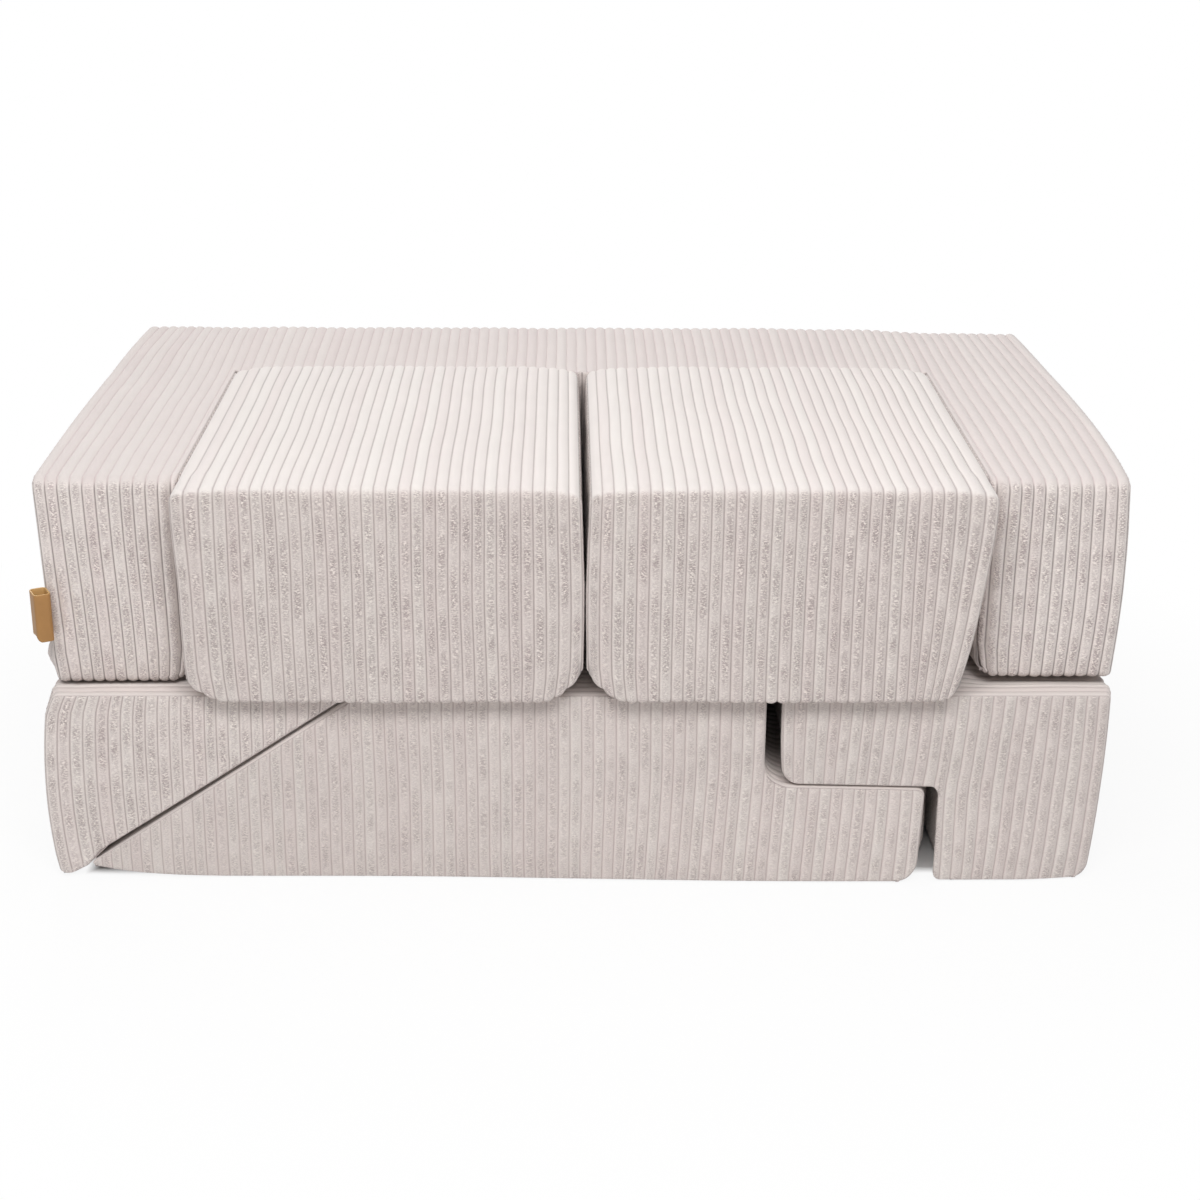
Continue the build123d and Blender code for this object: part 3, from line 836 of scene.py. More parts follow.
# %% Boxing strips, slope panel and bottom panels


def spaced(rows, gap=0.0004):
    """Sorted places with those that nearly coincide left out, the first and last kept."""
    rows = sorted(rows)
    kept = [rows[0]]
    for row in rows[1:]:
        if row - kept[-1] > gap:
            kept.append(row)
    kept[-1] = rows[-1]
    return np.array(kept)


def end_rows(fold, step):
    """Rows along a fold, closer together near both its ends."""
    inner = [row for row in fold.stations(step) if seam_lip < row < fold.length - seam_lip]
    low_end = [seam_lip + mark for mark in seam_marks]
    high_end = [fold.length - seam_lip - mark for mark in seam_marks]
    return spaced(inner + low_end + high_end)


def rectangle(a0, a1, b0, b1):
    """The four seams of a rectangular flat piece."""
    return np.array([(a0, b0, a1, b0), (a1, b0, a1, b1), (a1, b1, a0, b1), (a0, b1, a0, b0)])


def strip(node, body, fold, step, warp, seed):
    """A strip as wide as the block is deep, with its ribs along the fold."""
    def place(across, along):
        spot, out = fold.at(along)
        points = np.stack([spot[:, 0], across, spot[:, 1]], axis=1)
        return points, np.stack([out[:, 0], np.zeros(len(out)), out[:, 1]], axis=1)

    columns, width = rib_columns(base_front + seam_lip, base_rear - seam_lip, plain_rib)
    seams = rectangle(base_front, base_rear, 0, fold.length)
    sew(node, body, [patch(columns, end_rows(fold, step))], seams, place, columns[0], width,
        base_cloths[body], seed=seed, warp=warp)


wedge_tip, wedge_foot = wedge_outline.arcs[1][1], wedge_outline.arcs[2][0]
ramp_foot, ramp_heel = ramp_outline.arcs[0][0], ramp_outline.arcs[5][1]
leg_outer, leg_inner = hook_outline.arcs[2][1], hook_outline.arcs[3][0]
for node, body, outline, first, last, step, warp, seed in (
    ("wedge_boxing_strip", "wedge", wedge_outline, wedge_foot, wedge_tip, 0.02, wedge_warp, 7),
    ("wedge_slope_panel", "wedge", wedge_outline, wedge_tip, wedge_foot, 0.03, wedge_warp, 8),
    ("ramp_block_boxing_strip", "ramp_block", ramp_outline, ramp_foot, ramp_heel, 0.022, ramp_warp, 9),
    ("ramp_block_bottom_panel", "ramp_block", ramp_outline, ramp_heel, ramp_foot, 0.06, ramp_warp, 10),
    ("hook_block_boxing_strip", "hook_block", hook_outline, leg_inner, leg_outer, 0.022, hook_warp, 11),
    ("hook_block_bottom_panel", "hook_block", hook_outline, leg_outer, leg_inner, 0.03, hook_warp, 12),
):
    strip(node, body, outline.part(first, last), step, warp, seed)

# %% [markdown]
# The main panel of the back is one U-shaped piece of cloth. It starts under the arms, turns up over
# their fronts, runs back over the top and turns down the rear, with its ribs from front to back. The
# middle of the U starts at the rear edge of the recess. The lower inner corner of each arm is round,
# so the cloth is drawn in and lifted there.

# %% Main panel of the back
arm_low_radius = 0.024
turned_under = 0.016
front_round, rear_round = 0.018, 0.012
inner_corner = 0.026
quarter = 1 - math.sin(math.pi / 4)
back_corners = [
    ((arm_front, back_low), 0.010),
    ((arm_front, back_top), front_round),
    ((back_rear, back_top), rear_round),
    ((back_rear, back_low), 0.008),
]
under_front = ((arm_front + turned_under, back_low), 0)
under_rear = ((back_rear - turned_under, back_low), 0)
back_fold = rounded([under_front, *back_corners, under_rear])
top_start = back_fold.along[back_fold.arcs[2][1]]
rear_start = back_fold.along[back_fold.arcs[3][1]]
recess_run = top_start + recess_rear - (arm_front + front_round)
back_zip = (-0.548, 0.548, 0.2723)
back_zip_run = rear_start + back_top - rear_round - back_zip[2]


def draw_in(rise, radius):
    """How far a side is drawn in at a height above a round lower corner, up to its middle."""
    level_up = np.maximum(rise, quarter * radius)
    drawn = radius - np.sqrt(np.maximum(radius ** 2 - (radius - level_up) ** 2, 0))
    return np.where(level_up < radius, drawn, 0.0)


def lift_up(over, radius):
    """How far a bottom is lifted at a distance past the start of a round corner, up to its middle."""
    over = np.clip(over, 0, radius * math.sin(math.pi / 4))
    return radius - np.sqrt(radius ** 2 - over ** 2)


def back_warp(points):
    """How the back gives: crowned, bulged, puffed out below the tag, and round at its inner corners."""
    x, y, z = points.T.copy()
    share = np.clip((z - back_low) / (back_top - back_low), 0, 1)
    depth = np.clip((y - arm_front) / (back_rear - arm_front), 0, 1)
    crown = 0.004 + 0.010 * smooth((depth - 0.66) / 0.30) * (1 - 0.7 * smooth((x - 0.28) / 0.30))
    z += crown * smooth((share - 0.25) / 0.75)
    outer = smooth((np.abs(x) - recess_half) / (back_half - recess_half))
    bulge = np.where(x > 0, 0.013, 0.008) * np.sin(math.pi * depth ** 0.8) * (0.4 + 0.6 * share)
    bulge += np.where(x > 0, 0.005, 0.002) * np.sin(math.pi * share) * np.exp(-depth / 0.2)
    x += np.sign(x) * outer * bulge
    inward = np.clip(np.abs(x) - recess_half, 0, inner_corner)
    round_off = inner_corner - np.sqrt(inner_corner ** 2 - (inner_corner - inward) ** 2)
    at_left = 0.008 * smooth((depth - 0.7) / 0.3) - 0.005 * share ** 4 * np.exp(-depth / 0.15)
    x += np.where(x < 0, at_left, 0) * outer
    behind = np.maximum(y - arm_front, 0)
    x += np.where(x < 0, 0.007, 0) * (1 - share) ** 2 * np.exp(-behind / 0.025) * outer
    y += round_off * np.exp(-behind / 0.03)
    z += np.where(x > 0, 0.004, -0.002) * (1 - share) ** 2 * (1 - smooth((y - arm_front - 0.015) / 0.04))
    puff = np.exp(-((y - arm_front - 0.026) / 0.017) ** 2 - ((z - back_low - 0.027) / 0.017) ** 2)
    x -= np.where(x < -back_half + 0.02, 0.010 * puff, 0)
    return np.stack([x, y, z], axis=1)


def back_wrap(across, along):
    """Places on the main panel of the back."""
    spot, out = back_fold.at(along)
    y, z = spot[:, 0], spot[:, 1].copy()
    rise = z - back_low
    reach = np.abs(across)
    on_arm_front = along < top_start
    near = np.clip((recess_half + 2 * arm_low_radius - reach) / (2 * arm_low_radius), 0, 1)
    reach = reach + np.where(on_arm_front, draw_in(rise, arm_low_radius) * near, 0)
    lift = lift_up(recess_half + arm_low_radius - reach, arm_low_radius)
    z += np.where(on_arm_front, lift * (1 - rise / (back_top - back_low)), 0)
    points = np.stack([np.copysign(reach, across), y, z], axis=1)
    return points, np.stack([np.zeros(len(out)), out[:, 0], out[:, 1]], axis=1)


def u_patches(columns, lip, arm_rows, rear_rows):
    """The grids of a U-shaped piece: one for the rear, and one for each arm outside a line."""
    left, right = columns[columns < -lip + hair], columns[columns > lip - hair]
    return [patch(columns, rear_rows), patch(left, arm_rows), patch(right, arm_rows)]


def u_seams(inner, front, rear, turn):
    """The seams of a U-shaped piece whose arms start at the front and meet the rear part at the turn."""
    half = back_half
    return np.array([
        (-half, front, -half, rear), (half, front, half, rear), (-half, rear, half, rear),
        (-half, front, -inner, front), (inner, front, half, front), (-inner, front, -inner, turn),
        (inner, front, inner, turn), (-inner, turn, inner, turn),
    ])


arm_lip = recess_half + seam_lip
columns, width = rib_columns(-back_half + seam_lip, back_half - seam_lip, fine_rib, -arm_lip, arm_lip)
meeting = recess_run + seam_lip
arm_rows = spaced([row for row in end_rows(back_fold, 0.028) if row < meeting - 0.0004]
                  + [meeting - mark for mark in middle_marks])
zip_rows = [back_zip_run + mark for mark in zip_marks(0)]
rear_rows = spaced([row for row in end_rows(back_fold, 0.028) if row > meeting + 0.0004]
                   + [meeting + mark for mark in seam_marks] + zip_rows)
sew("back_main_panel", "back", u_patches(columns, arm_lip, arm_rows, rear_rows),
    u_seams(recess_half, 0, back_fold.length, recess_run), back_wrap, columns[0], width, upper_cloth,
    band=0.003, seed=13, warp=back_warp, opening=opening_of((*back_zip[:2], back_zip_run)))

# %% [markdown]
# The left and right sides of the back close the main panel along its edge, so their outline is the
# very fold line that the main panel follows. The lining goes round the recess with its ribs upright.
# The sole closes all of it below.

# %% Sides, lining and sole of the back
side_outline = rounded(back_corners, closed=True)


def back_side(node, facing, seed):
    """An outer side of the back."""
    def place(across, along):
        points = np.stack([np.full_like(across, back_half * facing), across, along], axis=1)
        return points, np.tile([float(facing), 0.0, 0.0], (len(across), 1))

    columns, width = rib_columns(arm_front + seam_lip + hair, back_rear - seam_lip - hair, plain_rib)
    low, high = spans(side_outline, columns)
    patches = [patch(columns, fill_rows(low, high, seam_marks, seam_marks, 24))]
    sew(node, "back", patches, seams_of(side_outline.points), place, columns[0], width, upper_cloth,
        pillow=0.002, seed=seed, warp=back_warp)


back_side("back_left_side_panel", -1, 14)
back_side("back_right_side_panel", 1, 15)

lining_fold = rounded([
    ((recess_half, arm_front), 0), ((recess_half, recess_rear), 0.006),
    ((-recess_half, recess_rear), 0.006), ((-recess_half, arm_front), 0),
])
lining_low = back_low + quarter * arm_low_radius
arm_run = recess_rear - arm_front


def lining(across, along):
    """Places on the lining of the recess."""
    spot, out = lining_fold.at(across)
    from_corner = np.maximum(arm_run - across, across - (lining_fold.length - arm_run))
    on_arm = smooth((from_corner - 0.02) / 0.05)
    spot = spot - out * (draw_in(along - back_low, arm_low_radius) * on_arm)[:, None]
    share = np.clip((along - lining_low) / (back_top - lining_low), 0, 1)
    short = front_round - np.clip(np.minimum(across, lining_fold.length - across), 0, front_round)
    drop = front_round - np.sqrt(front_round ** 2 - short ** 2)
    z = along - (1 - share) * (1 - on_arm) * (lining_low - back_low) - drop * share ** 4
    points = np.stack([spot[:, 0], spot[:, 1], z], axis=1)
    return points, np.stack([out[:, 0], out[:, 1], np.zeros(len(out))], axis=1)


columns, width = rib_columns(seam_lip, lining_fold.length - seam_lip, plain_rib)
rows = fill_rows(lining_low + seam_lip, back_top - seam_lip, seam_marks, seam_marks, 12)
sew("back_recess_strip", "back", [patch(columns, rows)],
    rectangle(0, lining_fold.length, lining_low, back_top), lining, columns[0], width, upper_cloth,
    band=0.003, seed=16, warp=back_warp)

sole_inner = recess_half + quarter * arm_low_radius
sole_front, sole_rear = arm_front + turned_under, back_rear - turned_under


def sole(across, along):
    """Places on the sole of the back."""
    beside_recess = smooth((recess_rear - 0.002 - along) / 0.04)
    lift = lift_up(recess_half + arm_low_radius - np.abs(across), arm_low_radius) * beside_recess
    lift = np.where(np.abs(across) > recess_half - 0.001, lift, 0)
    return np.stack([across, along, back_low + lift], axis=1), np.tile([0.0, 0.0, -1.0], (len(across), 1))


sole_lip = sole_inner + seam_lip
back_lip = back_half - seam_lip
columns, width = rib_columns(-back_lip, back_lip, plain_rib[::2], -sole_lip, sole_lip)
meeting = recess_rear + seam_lip
rear_rows = fill_rows(meeting, sole_rear - seam_lip, seam_marks, seam_marks, 4)
arm_rows = fill_rows(sole_front + seam_lip, meeting, seam_marks, middle_marks, 12)
sew("back_bottom_panel", "back", u_patches(columns, sole_lip, arm_rows, rear_rows),
    u_seams(sole_inner, sole_front, sole_rear, recess_rear), sole, columns[0], width, upper_cloth,
    seed=17, warp=back_warp)

# %% [markdown]
# A seat cushion is one long band of cloth that goes all the way round, over the front, top, rear and
# underside, with a panel let in at each side. The top is crowned. The lower corners are round, the
# ones in the middle of the sofa more so, and the ribs near them bend inwards and curl under.

# %% Seat cushions
cushion_fold_radius = 0.010
cushion_edge_radius = 0.006
cushion_low = back_low
cushion_tall = cushion_shoulder - cushion_low
side_bulge = 0.002
cushion_reach = cushion_half - side_bulge
cushion_puff = 0.009
rear_corner = 0.010
Foot = namedtuple("Foot", "wide high drawn tall")
inner_foot = Foot(wide=0.044, high=0.033, drawn=0.007, tall=0.048)
outer_feet = {-1: Foot(wide=0.042, high=0.022, drawn=0.006, tall=0.045),
              1: Foot(wide=0.020, high=0.016, drawn=0.027, tall=0.240)}
cushion_zip_z = 0.3003
cushion_zip_half = 0.189


def cushion_outline(low):
    """The outline of a cushion seen from its side, down to a height."""
    return rounded([
        ((cushion_front, low), cushion_edge_radius),
        ((cushion_front, cushion_shoulder), cushion_fold_radius),
        ((cushion_rear, cushion_shoulder), cushion_fold_radius),
        ((cushion_rear, low), cushion_fold_radius),
    ], closed=True)


band_fold = cushion_outline(cushion_low)
cushion_zip_flat = cushion_low + (cushion_zip_z - cushion_low) / (1 + cushion_puff / cushion_tall)
rear_run = band_fold.along[band_fold.arcs[2][1]]
cushion_zip_run = rear_run + cushion_shoulder - cushion_fold_radius - cushion_zip_flat


def side_shift(rise, foot):
    """How far a side stands out at a height: bulged half way up and drawn in at its foot."""
    bulge = side_bulge * (1 - (2 * rise / cushion_tall - 1) ** 2)
    return bulge - foot.drawn * (1 - np.clip(rise / foot.tall, 0, 1)) ** 2


def cushion_warp(centre):
    """Round the rear corners of a cushion, seen from above, and swell it over the edges of its recess."""
    outer = math.copysign(1, centre)

    def warp(points):
        x, y, z = points.T.copy()
        high = smooth((z - cushion_low) / cushion_tall * 2 - 1)
        from_side = cushion_half - (x - centre) * outer
        ahead = 1 - smooth((y - arm_front) / 0.03)
        at_side = smooth((0.014 - from_side) / 0.012)
        over = smooth((z - cushion_shoulder + 0.016) / 0.012) * at_side * (1 - ahead)
        x += outer * smooth((0.05 - from_side) / 0.05) * (0.0025 + (0.0025 + 0.003 * ahead) * high)
        x += outer * (0.0025 * over + 0.0015 * high * smooth((0.03 - 2 * cushion_half + from_side) / 0.03))
        y += 0.002 * high * smooth((y - cushion_rear + 0.05) / 0.05)
        z += 0.001 * high * smooth((y - cushion_rear + 0.20) / 0.15) + 0.003 * over
        inward = np.clip(cushion_half - np.abs(x - centre), 0, rear_corner)
        round_off = rear_corner - np.sqrt(rear_corner ** 2 - (rear_corner - inward) ** 2)
        y -= round_off * np.exp(-np.maximum(cushion_rear - y, 0) / 0.05)
        return np.stack([x, y, z], axis=1)
    return warp


def cushion_band(centre, feet):
    """Places on the band of a cushion, whose left and right feet are given."""
    def place(across, along):
        spot, out = band_fold.at(along)
        y, z = spot[:, 0], spot[:, 1]
        share = (z - cushion_low) / cushion_tall
        wide = np.where(across < 0, feet[0].wide, feet[1].wide)
        high = np.where(across < 0, feet[0].high, feet[1].high)
        over = np.clip((np.abs(across) - cushion_reach + wide) / wide, 0, 1)
        crown = 1 - (np.abs(across) / cushion_reach) ** 16
        z = z + high * over ** 2.2 * (1 - share) + cushion_puff * crown * share
        rise = z - cushion_low
        shift = np.where(across < 0, side_shift(rise, feet[0]), side_shift(rise, feet[1]))
        near = np.clip((np.abs(across) - cushion_reach + 0.08) / 0.08, 0, 1)
        slope = 2.2 * high / wide * over ** 1.2 * np.maximum(-out[:, 1], 0)
        points = np.stack([centre + across + np.sign(across) * shift * near, y, z], axis=1)
        normals = np.stack([np.sign(across) * slope, out[:, 0], out[:, 1]], axis=1)
        return points, normals / np.linalg.norm(normals, axis=1, keepdims=True)
    return place


def cushion_side(centre, facing, foot):
    """Places on a side panel of a cushion that faces -1 or 1."""
    def place(across, along):
        x = cushion_reach + side_shift(along - cushion_low, foot)
        points = np.stack([centre + facing * x, across, along], axis=1)
        return points, np.tile([float(facing), 0.0, 0.0], (len(across), 1))
    return place


def cushion(name, centre, feet, seed):
    """The band and both side panels of a cushion."""
    columns, width = rib_columns(-cushion_reach + seam_lip, cushion_reach - seam_lip, fine_rib)
    rows = spaced(list(band_fold.stations(0.024)) + [cushion_zip_run + mark for mark in zip_marks(0)])
    seams = np.array([(side, -1, side, 9) for side in (-cushion_reach, cushion_reach)])
    wrap = sew(name + "_wrap_panel", name, [patch(columns, rows)], seams, cushion_band(centre, feet),
               columns[0], width, seat_cloth, band=0.002, closed=True, seed=seed, pillow=0.0025,
               warp=cushion_warp(centre),
               opening=opening_of((-cushion_zip_half, cushion_zip_half, cushion_zip_run)))
    for facing, word, foot in ((-1, "left", feet[0]), (1, "right", feet[1])):
        outline = cushion_outline(cushion_low + foot.high)
        inset = seam_lip + hair
        across, rib = rib_columns(cushion_front + inset, cushion_rear - inset, plain_rib)
        low, high = spans(outline, across)
        side = [patch(across, fill_rows(low, high, seam_marks, seam_marks, 9))]
        sew(f"{name}_{word}_side_panel", name, side, seams_of(outline.points),
            cushion_side(centre, facing, foot), across[0], rib, seat_cloth, band=0.003,
            seed=seed + facing * 0.4, warp=cushion_warp(centre))


cushion("left_cushion", -cushion_middle, (outer_feet[-1], inner_foot), 20)
cushion("right_cushion", cushion_middle, (inner_foot, outer_feet[1]), 24)
print("all covers are sewn:", len(made_pieces), "pieces")

# %% [markdown]
# Inside each cover is a block of firm foam, cut with a hot wire, so its edges are crisp and its skin
# is an open sponge. Each block is an outline drawn in from the cover, filled and pushed through, then
# cut across all three ways; the three lower blocks then give in the same way as their covers.

# %% Foam cores
foam_inset = 0.0105
foam_cut = 0.035


def sponge(name):
    """Cream foam with fine open pores, painted darker inside as shade."""
    dye = Dye(name)
    spot = dye.place()
    pores = dye.node("TexVoronoi", {"feature": "SMOOTH_F1"}, Vector=spot, Scale=520.0, Smoothness=0.6)
    cloud = dye.node("TexNoise", {}, Vector=spot, Scale=9.0, Detail=2.0)
    depth = dye.node("MapRange", {}, pores, 0.1, 0.7, 0.0, 1.0)
    # Painted shade: each pore is painted darker towards its middle, where it is deepest.
    colour = dye.mix(depth, (0.42, 0.36, 0.24, 1), (0.80, 0.74, 0.58, 1))
    colour = dye.mix(1.0, colour, dye.grey(0.92 + cloud * 0.14), blend="MULTIPLY")
    bump = dye.node("Bump", {}, Strength=0.7, Distance=1.0, Height=depth * 0.0007)
    return dye.finish(Base_Color=colour, Roughness=0.95, Normal=bump, Specular_IOR_Level=0.2)


foam_cloth = sponge("foam")


def drawn_in(corners, inset):
    """The corners of a clockwise outline moved inwards with its sides, each with its smaller radius."""
    spots = [np.array(point, float) for point, radius in corners]
    result = []
    for index, (_, radius) in enumerate(corners):
        before = spots[index] - spots[index - 1]
        after = spots[(index + 1) % len(spots)] - spots[index]
        before, after = before / np.linalg.norm(before), after / np.linalg.norm(after)
        inward = -(left_of(before) + left_of(after))
        moved = spots[index] + inward * inset / (1 + left_of(before) @ left_of(after))
        turning = before[0] * after[1] - before[1] * after[0]
        result.append((tuple(moved), max(radius - inset, 0.003) if turning < 0 else radius + inset))
    return result


def foam_core(name, corners, low, high, stand, warp=None):
    """A foam block: an outline drawn in and pushed from low to high. Stand puts flat points in place."""
    fold = rounded(drawn_in(corners, foam_inset), closed=True)
    block = bmesh.new()
    ring = [block.verts.new(stand(a, b, low)) for a, b in fold.points[:-1]]
    pushed = bmesh.ops.extrude_face_region(block, geom=[block.faces.new(ring)])["geom"]
    top = [item for item in pushed if isinstance(item, bmesh.types.BMVert)]
    bmesh.ops.translate(block, verts=top, vec=Vector(stand(0, 0, high)) - Vector(stand(0, 0, low)))
    bmesh.ops.holes_fill(block, edges=[edge for edge in block.edges if edge.is_boundary])
    for way in (Vector((1, 0, 0)), Vector((0, 1, 0)), Vector((0, 0, 1))):
        reach = [way @ vert.co for vert in block.verts]
        cuts = math.ceil((max(reach) - min(reach)) / foam_cut)
        for cut in range(1, cuts):
            level_at = min(reach) + (max(reach) - min(reach)) * cut / cuts
            everything = block.verts[:] + block.edges[:] + block.faces[:]
            bmesh.ops.bisect_plane(block, geom=everything, plane_co=way * level_at, plane_no=way)
    bmesh.ops.triangulate(block, faces=block.faces[:])
    bmesh.ops.recalc_face_normals(block, faces=block.faces[:])
    mesh = bpy.data.meshes.new(name)
    block.to_mesh(mesh)
    open_edges = sum(edge.is_boundary for edge in block.edges)
    block.free()
    if warp:
        spot = np.array([vert.co for vert in mesh.vertices])
        mesh.vertices.foreach_set("co", warp(spot).ravel())
    mesh.materials.append(foam_cloth)
    piece = link(name + "_block", mesh, name.removesuffix("_foam_core"), name)
    print(f"{name}: {len(mesh.polygons)} triangles, {open_edges} open edges")


def standing(a, b, y):
    """A flat point on an upright plane at depth y."""
    return a, y, b


def lying(a, b, z):
    """A flat point on a level plane at height z."""
    return a, b, z


base_span = (base_front + foam_inset, base_rear - foam_inset)
foam_core("wedge_foam_core", wedge_corners, *base_span, standing, wedge_warp)
foam_core("ramp_block_foam_core", ramp_corners, *base_span, standing, ramp_warp)
foam_core("hook_block_foam_core", hook_corners, *base_span, standing, hook_warp)
recess_foam = recess_half + 0.005
plan = [(-back_half, arm_front), (-back_half, back_rear), (back_half, back_rear), (back_half, arm_front)]
plan += [(recess_foam, arm_front), (recess_foam, recess_rear)]
plan += [(-recess_foam, recess_rear), (-recess_foam, arm_front)]
sharp_plan = [(corner, 0) for corner in plan]
foam_core("back_foam_core", sharp_plan, back_low + foam_inset, back_top - foam_inset, lying)
for side, name in ((-1, "left_cushion_foam_core"), (1, "right_cushion_foam_core")):
    edges = (side * cushion_middle - cushion_reach, side * cushion_middle + cushion_reach)
    left_foot, right_foot = (outer_feet[-1], inner_foot) if side < 0 else (inner_foot, outer_feet[1])
    cushion_corners = [
        ((edges[0] + left_foot.drawn, cushion_low), 0.055), ((edges[0], cushion_shoulder), 0.008),
        ((edges[1], cushion_shoulder), 0.008), ((edges[1] - right_foot.drawn, cushion_low), 0.055),
    ]
    foam_core(name, cushion_corners, cushion_front + foam_inset, cushion_rear - foam_inset, standing)

# %% [markdown]
# The zips are plain coil zips without a pull tab, as on covers that a child should not open. Each has
# a woven tape, a coil of plastic teeth that hook over each other from both sides, and a metal slider.
# One tooth is a bevelled bar, and it is laid down over and over along the tape, now from above and
# now from below.

# %% Zips
tape_thickness = 0.0012
tooth_pitch = 0.00145


def zip_cloth(name):
    """Woven tape: two crossed sets of fine threads."""
    dye = Dye(name)
    spot = dye.place()
    across = (dye.axis(spot, 0) * 9000.0).math("SINE")
    upright_thread = (dye.axis(spot, 2) * 7000.0).math("SINE")
    weave = across * upright_thread
    shade = dye.node("MapRange", {}, weave, -1.0, 1.0, 0.0, 1.0)
    colour = dye.mix(shade, (0.44, 0.40, 0.38, 1), (0.68, 0.63, 0.60, 1))
    bump = dye.node("Bump", {}, Strength=0.6, Distance=1.0, Height=weave * 0.0001)
    return dye.finish(Base_Color=colour, Roughness=0.8, Normal=bump)


def zip_metal(name):
    """Brushed nickel, with faint scratches."""
    dye = Dye(name)
    stretch = dye.node("Mapping", {}, dye.place(), Scale=(300, 2500, 2500))
    scratch = dye.node("TexNoise", {}, Vector=stretch, Scale=1.0, Detail=3.0)
    colour = dye.mix(scratch, (0.52, 0.50, 0.48, 1), (0.74, 0.72, 0.69, 1))
    bump = dye.node("Bump", {}, Strength=0.3, Distance=1.0, Height=scratch * 0.0001)
    return dye.finish(Base_Color=colour, Metallic=1.0, Roughness=0.26 + scratch * 0.16, Normal=bump)


tape_cloth = zip_cloth("zip_tape")
slider_metal = zip_metal("zip_slider")


def bar(block, size, at, bevel, segments=1):
    """A bevelled bar of a size, its middle at a place."""
    made = bmesh.ops.create_cube(block, size=1)["verts"]
    bmesh.ops.scale(block, vec=size, verts=made)
    bmesh.ops.translate(block, vec=at, verts=made)
    edges = list({edge for vert in made for edge in vert.link_edges})
    bmesh.ops.bevel(block, geom=edges, offset=bevel, segments=segments, profile=0.5, affect="EDGES",
                    material=-1)


def zip_chain(body, left, right, z, rear):
    """Tape and coil of a zip, in one piece."""
    face = rear - skin + tape_thickness
    start, end = left + zip_half, right - zip_half
    pairs = int((end - start) / (2 * tooth_pitch))
    block = bmesh.new()
    for side in (-1, 1):
        place = (start + tooth_pitch * (1 + side / 2), face + 0.0006, z + side * 0.0007)
        bar(block, (0.00095, 0.0012, 0.0036), place, 0.0003)
    everything = block.verts[:] + block.edges[:] + block.faces[:]
    bmesh.ops.spin(block, geom=everything, cent=(0, 0, 0), axis=(0, 1, 0), dvec=(2 * tooth_pitch, 0, 0),
                   angle=0, steps=pairs - 1, use_duplicate=True)
    tape = (right - left - 0.004, tape_thickness, 2 * zip_half - 0.0002)
    bar(block, tape, ((left + right) / 2, face - tape_thickness / 2, z), 0.0003)
    for x in (start - 0.001, end + 0.001):
        bar(block, (0.0024, 0.0015, 0.0050), (x, face + 0.0007, z), 0.0004, 2)
    mesh = bpy.data.meshes.new(body + "_zip_chain")
    block.to_mesh(mesh)
    block.free()
    mesh.materials.append(tape_cloth)
    link(body + "_zip_coil", mesh, body, body + "_zip_chain")
    print(f"{body}: {2 * pairs} teeth, {len(mesh.polygons)} faces")


def zip_slider(body):
    """The slider: a plate that widens to its nose, a lip down each side, and a low bridge on top."""
    low, high = (Vector(corner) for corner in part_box(body + "_zip_slider"))
    middle = (low + high) / 2
    block = bmesh.new()
    plate = 0.0016
    bar(block, (high.x - low.x, plate, high.z - low.z), (middle.x, high.y - plate / 2, middle.z), 0.0006, 2)
    for vert in block.verts:
        if vert.co.x < middle.x:
            vert.co.z = middle.z + (vert.co.z - middle.z) * 0.74
    for side in (-1, 1):
        lip_at = (middle.x, (low.y + high.y - plate) / 2, middle.z + side * (high.z - low.z) * 0.36)
        bar(block, (0.0118, high.y - plate - low.y, 0.0012), lip_at, 0.0003)
    bar(block, (0.0080, 0.0012, 0.0022), (middle.x, high.y + 0.0014, middle.z), 0.0005, 2)
    for x in (-0.0034, 0.0034):
        bar(block, (0.0012, 0.0016, 0.0022), (middle.x + x, high.y + 0.0006, middle.z), 0.0003)
    mesh = bpy.data.meshes.new(body + "_zip_slider")
    block.to_mesh(mesh)
    block.free()
    mesh.materials.append(slider_metal)
    link(body + "_zip_runner", mesh, body + "_zip_slider", body + "_zip_slider")


zip_lines = {"wedge": wedge_zip, "ramp_block": ramp_zip, "hook_block": hook_zip, "back": back_zip}
for body, zip_line in zip_lines.items():
    zip_chain(body, *zip_line, base_rear)
    zip_slider(body)
for side, body in ((-1, "left_cushion"), (1, "right_cushion")):
    centre = side * cushion_middle
    zip_chain(body, centre - cushion_zip_half, centre + cushion_zip_half, cushion_zip_z, cushion_rear)
    zip_slider(body)

# %% [markdown]
# The leather tag is a strip folded to a loop and sewn in where the arm front meets the side. Its
# smooth face is tan and its raw edges and inner face are paler. The loop is a ring of upright
# columns, rounded off at its lower outer corner, with a real thickness and softly bevelled edges.

# %% Leather tag
tag_width, tag_depth, tag_height = 0.019, 0.025, 0.056
tag_leather = 0.0018
tag_turn = math.radians(27)
tag_across = Vector((math.cos(tag_turn), math.sin(tag_turn), 0))
tag_outward = Vector((math.sin(tag_turn), -math.cos(tag_turn), 0))
tag_corner = 0.006
tag_at = Vector((-back_half + 0.006, arm_front - 0.006, back_low + 0.0585))
tag_foot = tag_at - tag_across * (tag_width / 2 + 0.0001)


